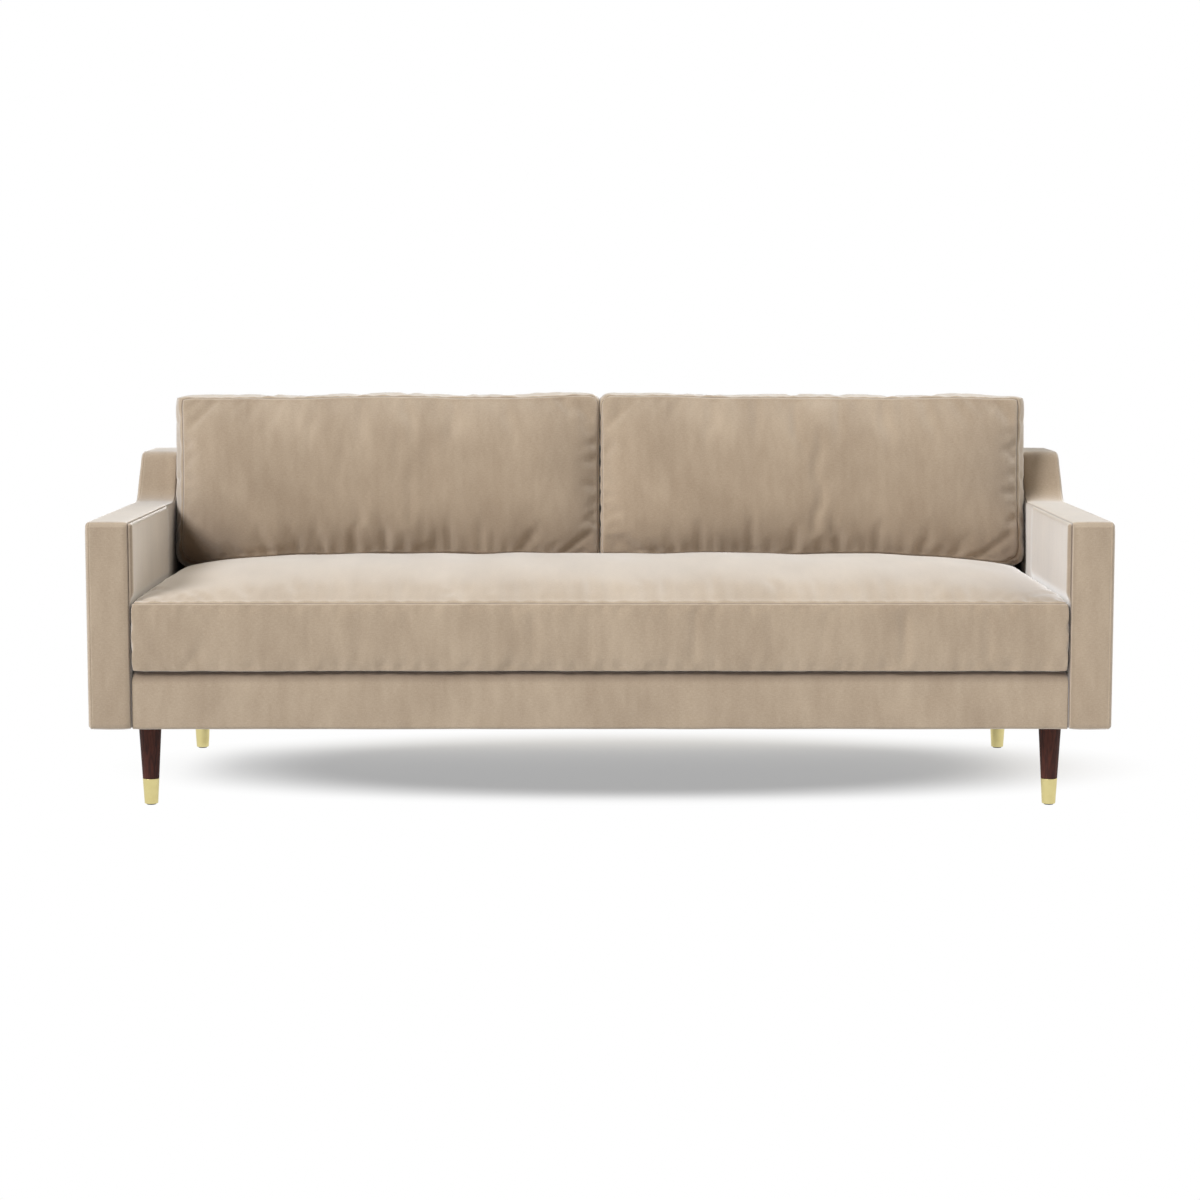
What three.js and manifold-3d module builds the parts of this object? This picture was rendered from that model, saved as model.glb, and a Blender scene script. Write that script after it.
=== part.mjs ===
// A three-seat tuxedo sofa: two thin arms that sweep up into a low back, one long seat cushion,
// two loose back cushions, and four turned legs with metal ferrules.
// Millimetres. X runs along the sofa, Y from the front to the back, Z up from the floor.
// Every depth below is measured from the front of the arms, and the last lines centre the sofa.
import * as THREE from 'three';
import { mergeVertices } from 'three/addons/utils/BufferGeometryUtils.js';
import Module from 'manifold-3d';

const wasm = await Module();
wasm.setup();

// Overall sizes
const SOFA_WIDTH = 2210;
const UNDERSIDE_HEIGHT = 177;
const ARM_HEIGHT = 625;
const BACK_RISE = 114; // top of the back above the arms
const ARM_WIDTH = 94;
const RAIL_HEIGHT = 126.5; // from the underside to the top of the covered seat deck
const INSIDE_BACK_FOOT = 752; // depth of the inside back where it meets the deck
const BACK_BASE_THICKNESS = 173; // from there to the rear of the base
const REAR_RAKE = 20; // the rear's top stands behind its foot
const BACK_LEAN = THREE.MathUtils.degToRad(8);

// Clearances
const GAP = 0.3; // between pieces that touch on the real sofa
const CUSHION_GAP = 0.8; // between a loose cushion and what stands beside it
const OVERRUN = 60; // how far a cutting body runs past what it cuts
const WELD = 1e-3; // vertices closer than this are one

// Arm outline, seen from the side
const WING_AHEAD = 97; // the riser reaches the back's height this far ahead of the inside back
const WING_LEAN = THREE.MathUtils.degToRad(20);
const WING_SWEEP_RADIUS = 50; // hollow curve from the arm up into the riser
const WING_TOP_RADIUS = 26;
const ARM_NOSE_RADIUS = 14;
const HEEL_RADIUS = 10;
const ARM_EDGE_ROUND = 9; // roll along both long edges of the arm

// Layers
const FABRIC = 2; // velvet with its backing
const ARM_FOAM = 9.7; // on the front, top and rear of the arm
const ARM_FOAM_OUTSIDE = 6.7;
const ARM_FOAM_INSIDE = 10.7;
const BACK_FOAM = 24;
const BACK_TOP_FOAM = 9.7;
const RAIL_FOAM = 9.4;
const DECK_FABRIC = 1.5;
const DECK_PAD = 10;
const HEM_WIDTH = 30; // fabric turned under the base

// Timber frame
const BOARD = 28; // thickness of the sawn rails
const FRONT_POST_DEPTH = 45;
const ARM_RAIL_HEIGHT = 45;
const RAIL_SETBACK = 10; // face of the front rail cover behind the arm fronts
const RAIL_NOSE_RADIUS = 12;
const REAR_SEAT_RAIL_BEHIND = 13; // face of the rear seat rail behind the inside back's foot
const BACK_LOWER_RAIL_HEIGHT = 70;
const BACK_BOTTOM_RAIL_HEIGHT = 80;
const STRETCHER_DROP = 19.5; // top of the centre stretcher below the rails, clear of the springs
const BLOCK_HEIGHT = 60;
const SIDE_FRAME_BORDER = 26; // timber left round the window of the side frame
const COVER_TUCK = 7.5; // how far the inside covers reach below the deck
const WALL_LAP = 15; // inside arm cover runs on behind the face of the back

// Springs
const SPRING_COUNT = 9;
const SPRING_MARGIN = 144; // first spring in from the end of the rails
const SPRING_WIRE = 3.8;
const SPRING_WAVES = 8;
const SPRING_STEPS_PER_WAVE = 6;
const SPRING_SWING = 24; // half the width of the meander
const SPRING_RISE = 6; // crown of the springs above their ends
const SPRING_OVERHANG_SHARE = 0.12; // of a wave: the meander's bends lean back over themselves
const TIE_WIRE_COUNT = 2;
const CLIP_HEIGHT = 8;
const CLIP_WIDTH = 24;
const CLIP_WALL = 2.2;

// Back webbing
const STRAP_WIDTH = 52;
const STRAP_THICKNESS = 1.6;
const UPRIGHT_STRAPS = 10;
const CROSS_STRAPS = 3;

// Legs
const LEG_INSET_X = 122; // leg centre in from the outside of the arm
const LEG_INSET_FRONT = 75;
const LEG_INSET_REAR = 62; // leg centre in from the rear of the base
const LEG_TOP_RADIUS = 23.7;
const LEG_FOOT_RADIUS = 13.7;
const LEG_CHAMFER = 1.2;
const FERRULE_HEIGHT = 58; // top of the ferrule above the floor
const FERRULE_WALL = 1.1;
const FERRULE_FLOOR = 1.6;
const GLIDE_HEIGHT = 2.5;
const GLIDE_RADIUS = 10.5;
const BOLT_RADIUS = 4;
const BOLT_IN_LEG = 44;
const BOLT_IN_BLOCK = 52;
const LEG_SIDES = 20;
const BOLT_SIDES = 10;

// Seat cushion
const SEAT_BOXING = 147; // height of the side band
const SEAT_CROWN = 65;
const SEAT_SIDE_BULGE = 5;
const SEAT_FRONT_BULGE = 8;
const SEAT_SETBACK = 2;
const SEAT_SIDE_PULL = 3; // how far a side draws in between the corners

// Back cushions
const BACK_CUSHION_HEIGHT = 432; // between the seams, before it settles on the seat
const BACK_CUSHION_SINK = 10.8; // lower seam below the seat cushion's upper seam
const BACK_CUSHION_BOXING = 165;
const BACK_CUSHION_CROWN = 42;
const BACK_CUSHION_BELLY = 8;
const BACK_OUTER_BULGE = 14;
const BACK_INNER_BULGE = 5;
const BACK_END_BULGE = 11;
const BACK_PULL = 3;

// Both kinds of cushion
const CORNER_ROUND = 16;
const CORNER_SHARPNESS = 14; // power that keeps the rounding near the corners
const CROWN_FLATNESS = 4; // power of the crown's plateau
const CROWN_SHOULDER = 0.36; // power of the crown's fall to the seam
const COVER_WALL = 14; // cover with its fibre wrap
const CORE_GAP = 0.5;
const ZIP_HEIGHT = 6;
const ZIP_DEPTH = 10;
const ZIP_END = 190; // cover left whole at each end of the zip
const BACK_ZIP_UP = 95; // zip of a back cushion above its lower seam, on the back panel
const ZIP_BELLY_SHARE = 0.8; // of the belly, where that zip lies

// Derived places
const deckHeight = UNDERSIDE_HEIGHT + RAIL_HEIGHT;
const backHeight = ARM_HEIGHT + BACK_RISE;
const baseDepth = INSIDE_BACK_FOOT + BACK_BASE_THICKNESS;
const sofaDepth = baseDepth + REAR_RAKE;
const innerX = SOFA_WIDTH / 2 - ARM_WIDTH; // inside face of the arm
const frameInnerX = innerX + FABRIC + GAP + ARM_FOAM_INSIDE + GAP;
const frameOuterX = SOFA_WIDTH / 2 - FABRIC - GAP - ARM_FOAM_OUTSIDE - GAP;
const frameBottom = UNDERSIDE_HEIGHT + FABRIC + GAP;
const legTop = UNDERSIDE_HEIGHT - GAP;
const deckFabricBottom = deckHeight - DECK_FABRIC;
const padTop = deckFabricBottom - GAP;
const padBottom = padTop - DECK_PAD;
const springTop = padBottom - GAP;
const springEndZ = springTop - SPRING_WIRE / 2 - SPRING_RISE;
const railTop = springEndZ - SPRING_WIRE / 2 - GAP - CLIP_WALL - GAP;
const tuckHeight = deckHeight - COVER_TUCK;
const armFrameInset = FABRIC + GAP + ARM_FOAM + GAP;
const backFrameInset = FABRIC + GAP + BACK_FOAM + GAP + STRAP_THICKNESS + GAP;
const railFront = RAIL_SETBACK + FABRIC + GAP + RAIL_FOAM + GAP;
const railRear = railFront + BOARD;
const hemFront = railFront + HEM_WIDTH;
const bottomRailRear = baseDepth - armFrameInset;
const bottomRailFront = bottomRailRear - BOARD;
const halfBetweenArms = innerX - GAP;
const insideBackY = (z, behind = 0) =>
  INSIDE_BACK_FOOT + (z - deckHeight) * Math.tan(BACK_LEAN) + behind / Math.cos(BACK_LEAN);

const finishes = {
  velvet: new THREE.MeshStandardMaterial({ color: 0xb7a48e, roughness: 0.85, metalness: 0 }),
  foam: new THREE.MeshStandardMaterial({ color: 0xe9e2cf, roughness: 0.95, metalness: 0 }),
  pine: new THREE.MeshStandardMaterial({ color: 0xc9a877, roughness: 0.7, metalness: 0 }),
  walnut: new THREE.MeshStandardMaterial({ color: 0x3f221a, roughness: 0.4, metalness: 0 }),
  brass: new THREE.MeshStandardMaterial({ color: 0xd3c183, roughness: 0.25, metalness: 1 }),
  steel: new THREE.MeshStandardMaterial({ color: 0x8d9093, roughness: 0.4, metalness: 1 }),
  nylon: new THREE.MeshStandardMaterial({ color: 0x2b2b2b, roughness: 0.6, metalness: 0 }),
  webbing: new THREE.MeshStandardMaterial({ color: 0x5a5148, roughness: 0.9, metalness: 0 }),
  cambric: new THREE.MeshStandardMaterial({ color: 0x1d1c1b, roughness: 0.95, metalness: 0 }),
  zipTape: new THREE.MeshStandardMaterial({ color: 0xa08f7a, roughness: 0.7, metalness: 0 }),
};

const sofa = new THREE.Group();

function add(name, geometry, material) {
  const mesh = new THREE.Mesh(geometry, material);
  mesh.name = name;
  sofa.add(mesh);
  return mesh;
}

// A closed geometry as a solid that can be cut and joined.
function solidOf(geometry) {
  const bare = geometry.clone();
  bare.deleteAttribute('normal');
  bare.deleteAttribute('uv');
  const welded = mergeVertices(bare, WELD);
  return new wasm.Manifold(new wasm.Mesh({
    numProp: 3,
    vertProperties: new Float32Array(welded.attributes.position.array),
    triVerts: new Uint32Array(welded.index.array),
  }));
}

// The solid's vertices and triangles as a geometry.
function geometryOf(solid) {
  const mesh = solid.getMesh();
  const geometry = new THREE.BufferGeometry();
  geometry.setAttribute('position', new THREE.BufferAttribute(new Float32Array(mesh.vertProperties), 3));
  geometry.setIndex(new THREE.BufferAttribute(new Uint32Array(mesh.triVerts), 1));
  geometry.computeVertexNormals();
  return geometry;
}

// A square-edged block between two depths, heights and widths.
function block([x0, x1], [y0, y1], [z0, z1]) {
  const geometry = new THREE.BoxGeometry(x1 - x0, y1 - y0, z1 - z0);
  return geometry.translate((x0 + x1) / 2, (y0 + y1) / 2, (z0 + z1) / 2);
}

const blockSolid = (x, y, z) => solidOf(block(x, y, z));

// Corners [y, z, radius] run clockwise seen from the right. Edge i, from corner i to the next, moves
// inwards by its inset, a hollow corner's radius grows by it, and a round corner's shrinks.
function outline(corners, inset) {
  const insets = corners.map((_, i) => (Array.isArray(inset) ? inset[i] : inset));
  const at = (list, i) => list[(i + list.length) % list.length];
  const edges = corners.map(([y, z], i) => {
    const [nextY, nextZ] = at(corners, i + 1);
    const along = new THREE.Vector2(nextY - y, nextZ - z).normalize();
    const inwards = new THREE.Vector2(along.y, -along.x);
    return { start: new THREE.Vector2(y, z).addScaledVector(inwards, insets[i]), along, inwards };
  });
  const shape = new THREE.Shape();
  corners.forEach(([, , radius], i) => {
    const before = at(edges, i - 1);
    const after = edges[i];
    const turn = before.along.cross(after.along);
    const reach = after.start.clone().sub(before.start).cross(after.along) / turn;
    const corner = before.start.clone().addScaledVector(before.along, reach);
    const hollow = turn > 0;
    const moved = Math.max(insets[i], at(insets, i - 1));
    const arc = hollow ? radius + moved : Math.max(radius - moved, 0);
    const bend = Math.atan2(turn, before.along.dot(after.along));
    const tangent = arc * Math.tan(Math.abs(bend) / 2);
    const from = corner.clone().addScaledVector(before.along, -tangent);
    if (i === 0) shape.moveTo(from.x, from.y);
    else shape.lineTo(from.x, from.y);
    if (arc > 0) {
      const side = hollow ? -1 : 1;
      const centre = from.clone().addScaledVector(before.inwards, side * arc);
      const startAngle = before.inwards.clone().multiplyScalar(-side).angle();
      const endAngle = after.inwards.clone().multiplyScalar(-side).angle();
      shape.absarc(centre.x, centre.y, arc, startAngle, endAngle, !hollow);
    }
  });
  shape.closePath();
  return shape;
}

// A side-view shape run along the sofa from x0 to x1, with its long edges rounded.
function runAlong(shape, x0, x1, round = 0) {
  const geometry = new THREE.ExtrudeGeometry(shape, {
    depth: x1 - x0 - 2 * round,
    steps: 1,
    curveSegments: 3,
    bevelEnabled: round > 0,
    bevelThickness: round,
    bevelSize: round,
    bevelOffset: -round,
    bevelSegments: 2,
  });
  const axes = new THREE.Matrix4().makeBasis(
    new THREE.Vector3(0, 1, 0), new THREE.Vector3(0, 0, 1), new THREE.Vector3(1, 0, 0));
  return geometry.applyMatrix4(axes).translate(x0 + round, 0, 0);
}

// A straight-sided shape through the given points of the side view.
const polygon = (points) => new THREE.Shape(points.map(([y, z]) => new THREE.Vector2(y, z)));

const mirrored = (geometry) => geometryOf(solidOf(geometry).mirror([1, 0, 0]));

// Adds a right-hand piece and its mirror image.
function addPair(name, geometry, material) {
  add(`${name}_right`, geometry, material);
  add(`${name}_left`, mirrored(geometry), material);
}

// Arms

const wingFrontY = insideBackY(backHeight) - WING_AHEAD;
const wingFootY = wingFrontY - (backHeight - ARM_HEIGHT) * Math.tan(WING_LEAN);
const armCorners = [
  [0, UNDERSIDE_HEIGHT, HEEL_RADIUS],
  [0, ARM_HEIGHT, ARM_NOSE_RADIUS],
  [wingFootY, ARM_HEIGHT, WING_SWEEP_RADIUS],
  [wingFrontY, backHeight, WING_TOP_RADIUS],
  [sofaDepth, backHeight, WING_TOP_RADIUS],
  [baseDepth, UNDERSIDE_HEIGHT, HEEL_RADIUS],
];

// Insets of the arm's edges: all alike, apart from the underside, which may run on below.
const armInsets = (inset, underside) =>
  armCorners.map((_, i) => (i === armCorners.length - 1 ? underside : inset));

// The part of an arm's inside face where rails pass: under the deck behind the front rail's face,
// and behind the inside back. A rim is left along the arm's top and rear.
function railWindow(x0, x1) {
  const top = backHeight + OVERRUN;
  const hidden = polygon([
    [railFront - GAP, UNDERSIDE_HEIGHT - OVERRUN],
    [railFront - GAP, tuckHeight],
    [insideBackY(tuckHeight, WALL_LAP), tuckHeight],
    [insideBackY(top, WALL_LAP), top],
    [sofaDepth + OVERRUN, top],
    [sofaDepth + OVERRUN, UNDERSIDE_HEIGHT - OVERRUN],
  ]);
  const rim = outline(armCorners, armInsets(armFrameInset - GAP, -OVERRUN));
  return solidOf(runAlong(hidden, x0, x1)).intersect(solidOf(runAlong(rim, x0, x1)));
}

// Skin over the whole arm, open underneath inside its hem, and on the inside where rails pass.
function armCover() {
  const body = solidOf(runAlong(outline(armCorners, 0), innerX, SOFA_WIDTH / 2, ARM_EDGE_ROUND));
  const hollow = solidOf(runAlong(outline(armCorners, FABRIC), innerX + FABRIC, SOFA_WIDTH / 2 - FABRIC,
    ARM_EDGE_ROUND - FABRIC));
  const mouth = blockSolid(
    [innerX - OVERRUN, SOFA_WIDTH / 2 - HEM_WIDTH],
    [hemFront, baseDepth - HEM_WIDTH],
    [UNDERSIDE_HEIGHT - OVERRUN, frameBottom + ARM_EDGE_ROUND]);
  const window = railWindow(innerX - OVERRUN, innerX + ARM_EDGE_ROUND + GAP);
  return geometryOf(body.subtract(hollow).subtract(mouth).subtract(window));
}

// Foam between the arm's skin and its timber.
function armFoam() {
  const skinInset = FABRIC + GAP;
  const body = solidOf(runAlong(outline(armCorners, skinInset), innerX + skinInset,
    SOFA_WIDTH / 2 - skinInset, ARM_EDGE_ROUND - skinInset));
  const hollow = solidOf(runAlong(outline(armCorners, armInsets(armFrameInset - GAP, -OVERRUN)),
    frameInnerX - GAP, frameOuterX + GAP));
  return geometryOf(body.subtract(hollow).subtract(railWindow(innerX - OVERRUN, frameInnerX)));
}

addPair('arm_cover', armCover(), finishes.velvet);
addPair('arm_foam', armFoam(), finishes.foam);

// The timber inside an arm is cut from the space that the foam leaves.
const armTimberOutline = outline(armCorners, armInsets(armFrameInset, FABRIC + GAP));
const armTimber = solidOf(runAlong(armTimberOutline, frameInnerX, frameOuterX));
const behindPost = armFrameInset + FRONT_POST_DEPTH;
const armRailBottom = ARM_HEIGHT - armFrameInset - ARM_RAIL_HEIGHT;
const farX = [frameInnerX - OVERRUN, frameOuterX + OVERRUN];

function leaningBand(from, to, z0, z1) {
  return polygon([
    [insideBackY(z0, from), z0], [insideBackY(z1, from), z1],
    [insideBackY(z1, to), z1], [insideBackY(z0, to), z0],
  ]);
}

function frontPost() {
  const room = blockSolid(farX, [0, behindPost], [0, armRailBottom - GAP]);
  return geometryOf(armTimber.intersect(room));
}

// One board from the front post to the side frame, its upper edge cut to the wing's sweep.
function armRail() {
  const front = polygon([
    [0, armRailBottom],
    [0, backHeight],
    [insideBackY(backHeight, backFrameInset - GAP), backHeight],
    [insideBackY(armRailBottom, backFrameInset - GAP), armRailBottom],
  ]);
  return geometryOf(armTimber.intersect(solidOf(runAlong(front, ...farX))));
}

// The panel at the side of the back, with a window through it.
function sideFrame() {
  const z0 = railTop + GAP;
  const room = solidOf(runAlong(leaningBand(backFrameInset, sofaDepth, z0, backHeight), ...farX));
  const windowZ0 = z0 + SIDE_FRAME_BORDER;
  const windowZ1 = backHeight - armFrameInset - SIDE_FRAME_BORDER;
  const rearY = baseDepth - armFrameInset - SIDE_FRAME_BORDER;
  const border = backFrameInset + SIDE_FRAME_BORDER;
  const window = polygon([
    [insideBackY(windowZ0, border), windowZ0], [insideBackY(windowZ1, border), windowZ1],
    [rearY, windowZ1], [rearY, windowZ0],
  ]);
  return geometryOf(armTimber.intersect(room).subtract(solidOf(runAlong(window, ...farX))));
}

function sideRail() {
  return block([frameInnerX, frameInnerX + BOARD], [behindPost + GAP, bottomRailRear], [frameBottom, railTop]);
}

addPair('front_post', frontPost(), finishes.pine);
addPair('arm_rail', armRail(), finishes.pine);
addPair('side_frame', sideFrame(), finishes.pine);
addPair('side_rail', sideRail(), finishes.pine);

// Rails across the sofa, butted between the arm frames

const halfRail = frameInnerX - GAP;
const across = [-halfRail, halfRail];
const rearSeatRailFront = INSIDE_BACK_FOOT + REAR_SEAT_RAIL_BEHIND;
const rearSeatRailRear = rearSeatRailFront + BOARD;
const backRailFoot = deckHeight;
const backTop = backHeight - FABRIC - GAP - BACK_TOP_FOAM - GAP;
const rearFaceY = (z) =>
  baseDepth + (sofaDepth - baseDepth) * (z - UNDERSIDE_HEIGHT) / (backHeight - UNDERSIDE_HEIGHT);

add('front_rail', block(across, [railFront, railRear], [frameBottom, railTop]), finishes.pine);
add('rear_seat_rail',
  block(across, [rearSeatRailFront, rearSeatRailRear], [frameBottom, railTop]),
  finishes.pine);
add('back_bottom_rail',
  block(across, [bottomRailFront, bottomRailRear], [frameBottom, frameBottom + BACK_BOTTOM_RAIL_HEIGHT]),
  finishes.pine);
add('centre_stretcher',
  block([-BOARD / 2, BOARD / 2], [railRear + GAP, rearSeatRailFront - GAP],
    [frameBottom, railTop - STRETCHER_DROP]),
  finishes.pine);
add('back_lower_rail',
  runAlong(
    leaningBand(backFrameInset, backFrameInset + BOARD, backRailFoot, backRailFoot + BACK_LOWER_RAIL_HEIGHT),
    ...across),
  finishes.pine);

// Flat capping board along the top of the back.
const topRailBottom = backTop - BOARD;
const topRailShape = polygon([
  [insideBackY(topRailBottom, backFrameInset), topRailBottom],
  [insideBackY(backTop, backFrameInset), backTop],
  [rearFaceY(topRailBottom) - WING_TOP_RADIUS, backTop],
  [rearFaceY(topRailBottom) - WING_TOP_RADIUS, topRailBottom],
]);
add('back_top_rail', runAlong(topRailShape, ...across), finishes.pine);

const backPostShape = leaningBand(backFrameInset, backFrameInset + BOARD,
  backRailFoot + BACK_LOWER_RAIL_HEIGHT + GAP, topRailBottom - GAP);
add('back_centre_post', runAlong(backPostShape, -BOARD, BOARD), finishes.pine);

// Corner blocks, each drilled for its leg's bolt

const legX = SOFA_WIDTH / 2 - LEG_INSET_X;
const blockLeg = bottomRailFront - rearSeatRailRear - 2 * GAP; // equal sides of a corner block
const legRows = { front: LEG_INSET_FRONT, rear: baseDepth - LEG_INSET_REAR };

function cornerBlock(row) {
  const corner = row === 'front' ? railRear + GAP : bottomRailFront - GAP;
  const towards = row === 'front' ? 1 : -1;
  const shape = new THREE.Shape([
    new THREE.Vector2(halfRail, corner),
    new THREE.Vector2(halfRail, corner + towards * blockLeg),
    new THREE.Vector2(halfRail - blockLeg, corner),
  ]);
  const wedge = new THREE.ExtrudeGeometry(shape, { depth: BLOCK_HEIGHT, bevelEnabled: false });
  wedge.translate(0, 0, frameBottom);
  const boreRadius = BOLT_RADIUS + GAP;
  const drill = new THREE.CylinderGeometry(boreRadius, boreRadius, 2 * (BLOCK_HEIGHT + OVERRUN), BOLT_SIDES);
  drill.rotateX(Math.PI / 2).translate(legX, legRows[row], frameBottom);
  return geometryOf(solidOf(wedge).subtract(solidOf(drill)));
}

for (const row of Object.keys(legRows)) addPair(`corner_block_${row}`, cornerBlock(row), finishes.pine);

// Seat springs: meandering wires from the front rail to the rear seat rail, tied across

class Meander extends THREE.Curve {
  constructor(x, startY, endY) {
    super();
    this.x = x;
    this.startY = startY;
    this.endY = endY;
  }

  getPoint(t, target = new THREE.Vector3()) {
    const turn = 2 * Math.PI * SPRING_WAVES * t;
    const wave = (this.endY - this.startY) / SPRING_WAVES;
    const lean = wave * SPRING_OVERHANG_SHARE * Math.sin(2 * turn);
    return target.set(
      this.x + SPRING_SWING * Math.sin(turn),
      this.startY + (this.endY - this.startY) * t + lean,
      springEndZ + SPRING_RISE * Math.sin(Math.PI * t));
  }
}

// A square-section wire of the given thickness, points of the section on its axes.
function wireSection(thickness) {
  const r = thickness / 2;
  return new THREE.Shape([[r, 0], [0, r], [-r, 0], [0, -r]].map(([x, y]) => new THREE.Vector2(x, y)));
}

const springStart = (railFront + railRear) / 2;
const springEnd = (rearSeatRailFront + rearSeatRailRear) / 2;
const springSpacing = 2 * (halfRail - SPRING_MARGIN) / (SPRING_COUNT - 1);
const springXs = Array.from({ length: SPRING_COUNT }, (_, i) => (i - (SPRING_COUNT - 1) / 2) * springSpacing);

function springMat() {
  const springs = springXs.map((x) => solidOf(new THREE.ExtrudeGeometry(wireSection(SPRING_WIRE), {
    steps: SPRING_WAVES * SPRING_STEPS_PER_WAVE,
    extrudePath: new Meander(x, springStart, springEnd),
    bevelEnabled: false,
  })));
  const halfTie = springXs.at(-1) + SPRING_SWING;
  const ties = Array.from({ length: TIE_WIRE_COUNT }, (_, i) => {
    const share = (i + 1) / (TIE_WIRE_COUNT + 1);
    const y = springStart + (springEnd - springStart) * share;
    const z = springEndZ + SPRING_RISE * Math.sin(Math.PI * share);
    const tie = new THREE.LineCurve3(new THREE.Vector3(-halfTie, y, z), new THREE.Vector3(halfTie, y, z));
    const run = { steps: 1, extrudePath: tie, bevelEnabled: false };
    return solidOf(new THREE.ExtrudeGeometry(wireSection(SPRING_WIRE), run));
  });
  return geometryOf(wasm.Manifold.union([...springs, ...ties]));
}

add('seat_spring_mat', springMat(), finishes.steel);

// A moulded channel along the rail that holds the ends of the springs.
function clipBar(y) {
  const half = springXs.at(-1) + 2 * SPRING_SWING;
  const channelBottom = springEndZ - SPRING_WIRE / 2 - GAP;
  const shape = polygon([
    [y - CLIP_WIDTH / 2, railTop + GAP],
    [y - CLIP_WIDTH / 2, railTop + GAP + CLIP_HEIGHT],
    [y - SPRING_WIRE, railTop + GAP + CLIP_HEIGHT],
    [y - SPRING_WIRE, channelBottom],
    [y + SPRING_WIRE, channelBottom],
    [y + SPRING_WIRE, railTop + GAP + CLIP_HEIGHT],
    [y + CLIP_WIDTH / 2, railTop + GAP + CLIP_HEIGHT],
    [y + CLIP_WIDTH / 2, railTop + GAP],
  ]);
  return runAlong(shape, -half, half);
}

const clipGate = 2 * (SPRING_SWING + SPRING_WIRE); // opening in the channel's wall for each spring

function clipBarWithGates(y) {
  const gates = springXs.map((x) => blockSolid(
    [x - clipGate / 2, x + clipGate / 2], [y - CLIP_WIDTH, y + CLIP_WIDTH],
    [springEndZ - SPRING_WIRE / 2 - GAP, springEndZ + OVERRUN]));
  return geometryOf(solidOf(clipBar(y)).subtract(wasm.Manifold.union(gates)));
}

add('spring_clip_front', clipBarWithGates(springStart), finishes.nylon);
add('spring_clip_rear', clipBarWithGates(springEnd), finishes.nylon);

// Webbing over the back frame: uprights and cross straps, stapled together at their crossings.
function backWebbing() {
  const z0 = backRailFoot + GAP;
  const length = (backTop - GAP - z0) / Math.cos(BACK_LEAN);
  const pitchX = (2 * halfRail - STRAP_WIDTH) / (UPRIGHT_STRAPS - 1);
  const pitchV = (length - STRAP_WIDTH) / (CROSS_STRAPS - 1);
  const straps = [];
  for (let i = 0; i < UPRIGHT_STRAPS; i += 1) {
    const x = -halfRail + i * pitchX;
    straps.push(blockSolid([x, x + STRAP_WIDTH], [-STRAP_THICKNESS, 0], [0, length]));
  }
  for (let j = 0; j < CROSS_STRAPS; j += 1) {
    const v = j * pitchV;
    straps.push(blockSolid([-halfRail, halfRail], [-STRAP_THICKNESS, 0], [v, v + STRAP_WIDTH]));
  }
  const net = geometryOf(wasm.Manifold.union(straps)).rotateX(-BACK_LEAN);
  return net.translate(0, insideBackY(z0, backFrameInset - GAP), z0);
}

add('back_webbing', backWebbing(), finishes.webbing);

// Seat deck and front rail upholstery

const between = [-halfBetweenArms, halfBetweenArms];
const padRear = insideBackY(padBottom) - GAP;

add('deck_pad', block(between, [railFront, padRear], [padBottom, padTop]), finishes.foam);
add('deck_cover',
  block(between,
    [hemFront + GAP, insideBackY(deckHeight - DECK_FABRIC) - GAP],
    [deckFabricBottom, deckHeight]),
  finishes.velvet);

const railCorners = [
  [RAIL_SETBACK, UNDERSIDE_HEIGHT, HEEL_RADIUS],
  [RAIL_SETBACK, deckHeight, RAIL_NOSE_RADIUS],
  [hemFront, deckHeight, 0],
  [hemFront, UNDERSIDE_HEIGHT, 0],
];

function railCover() {
  const body = solidOf(runAlong(outline(railCorners, 0), ...between));
  const hollow = solidOf(runAlong(outline(railCorners, [FABRIC, DECK_FABRIC, -OVERRUN, FABRIC]),
    -halfBetweenArms - OVERRUN, halfBetweenArms + OVERRUN));
  return geometryOf(body.subtract(hollow));
}

function railFoam() {
  const skin = [FABRIC + GAP, DECK_FABRIC + GAP, 0, FABRIC + GAP];
  const body = solidOf(runAlong(outline(railCorners, skin), ...between));
  const room = blockSolid([-innerX, innerX], [0, railFront - GAP], [0, deckHeight]);
  return geometryOf(body.intersect(room));
}

add('rail_cover', railCover(), finishes.velvet);
add('rail_foam', railFoam(), finishes.foam);

// Back upholstery between the arms

const backCorners = [
  [insideBackY(UNDERSIDE_HEIGHT), UNDERSIDE_HEIGHT, 0],
  [insideBackY(backHeight), backHeight, WING_TOP_RADIUS],
  [sofaDepth, backHeight, WING_TOP_RADIUS],
  [baseDepth, UNDERSIDE_HEIGHT, FABRIC],
];

function backSkin() {
  const body = solidOf(runAlong(outline(backCorners, 0), ...between));
  const hollow = solidOf(runAlong(outline(backCorners, [FABRIC, FABRIC, FABRIC, FABRIC]),
    -halfBetweenArms - OVERRUN, halfBetweenArms + OVERRUN));
  const mouth = blockSolid([-SOFA_WIDTH, SOFA_WIDTH], [0, baseDepth - HEM_WIDTH], [0, frameBottom + HEEL_RADIUS]);
  const tuck = blockSolid([-SOFA_WIDTH, SOFA_WIDTH], [0, rearSeatRailRear + HEM_WIDTH], [0, tuckHeight]);
  return body.subtract(hollow).subtract(mouth).subtract(tuck);
}

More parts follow.
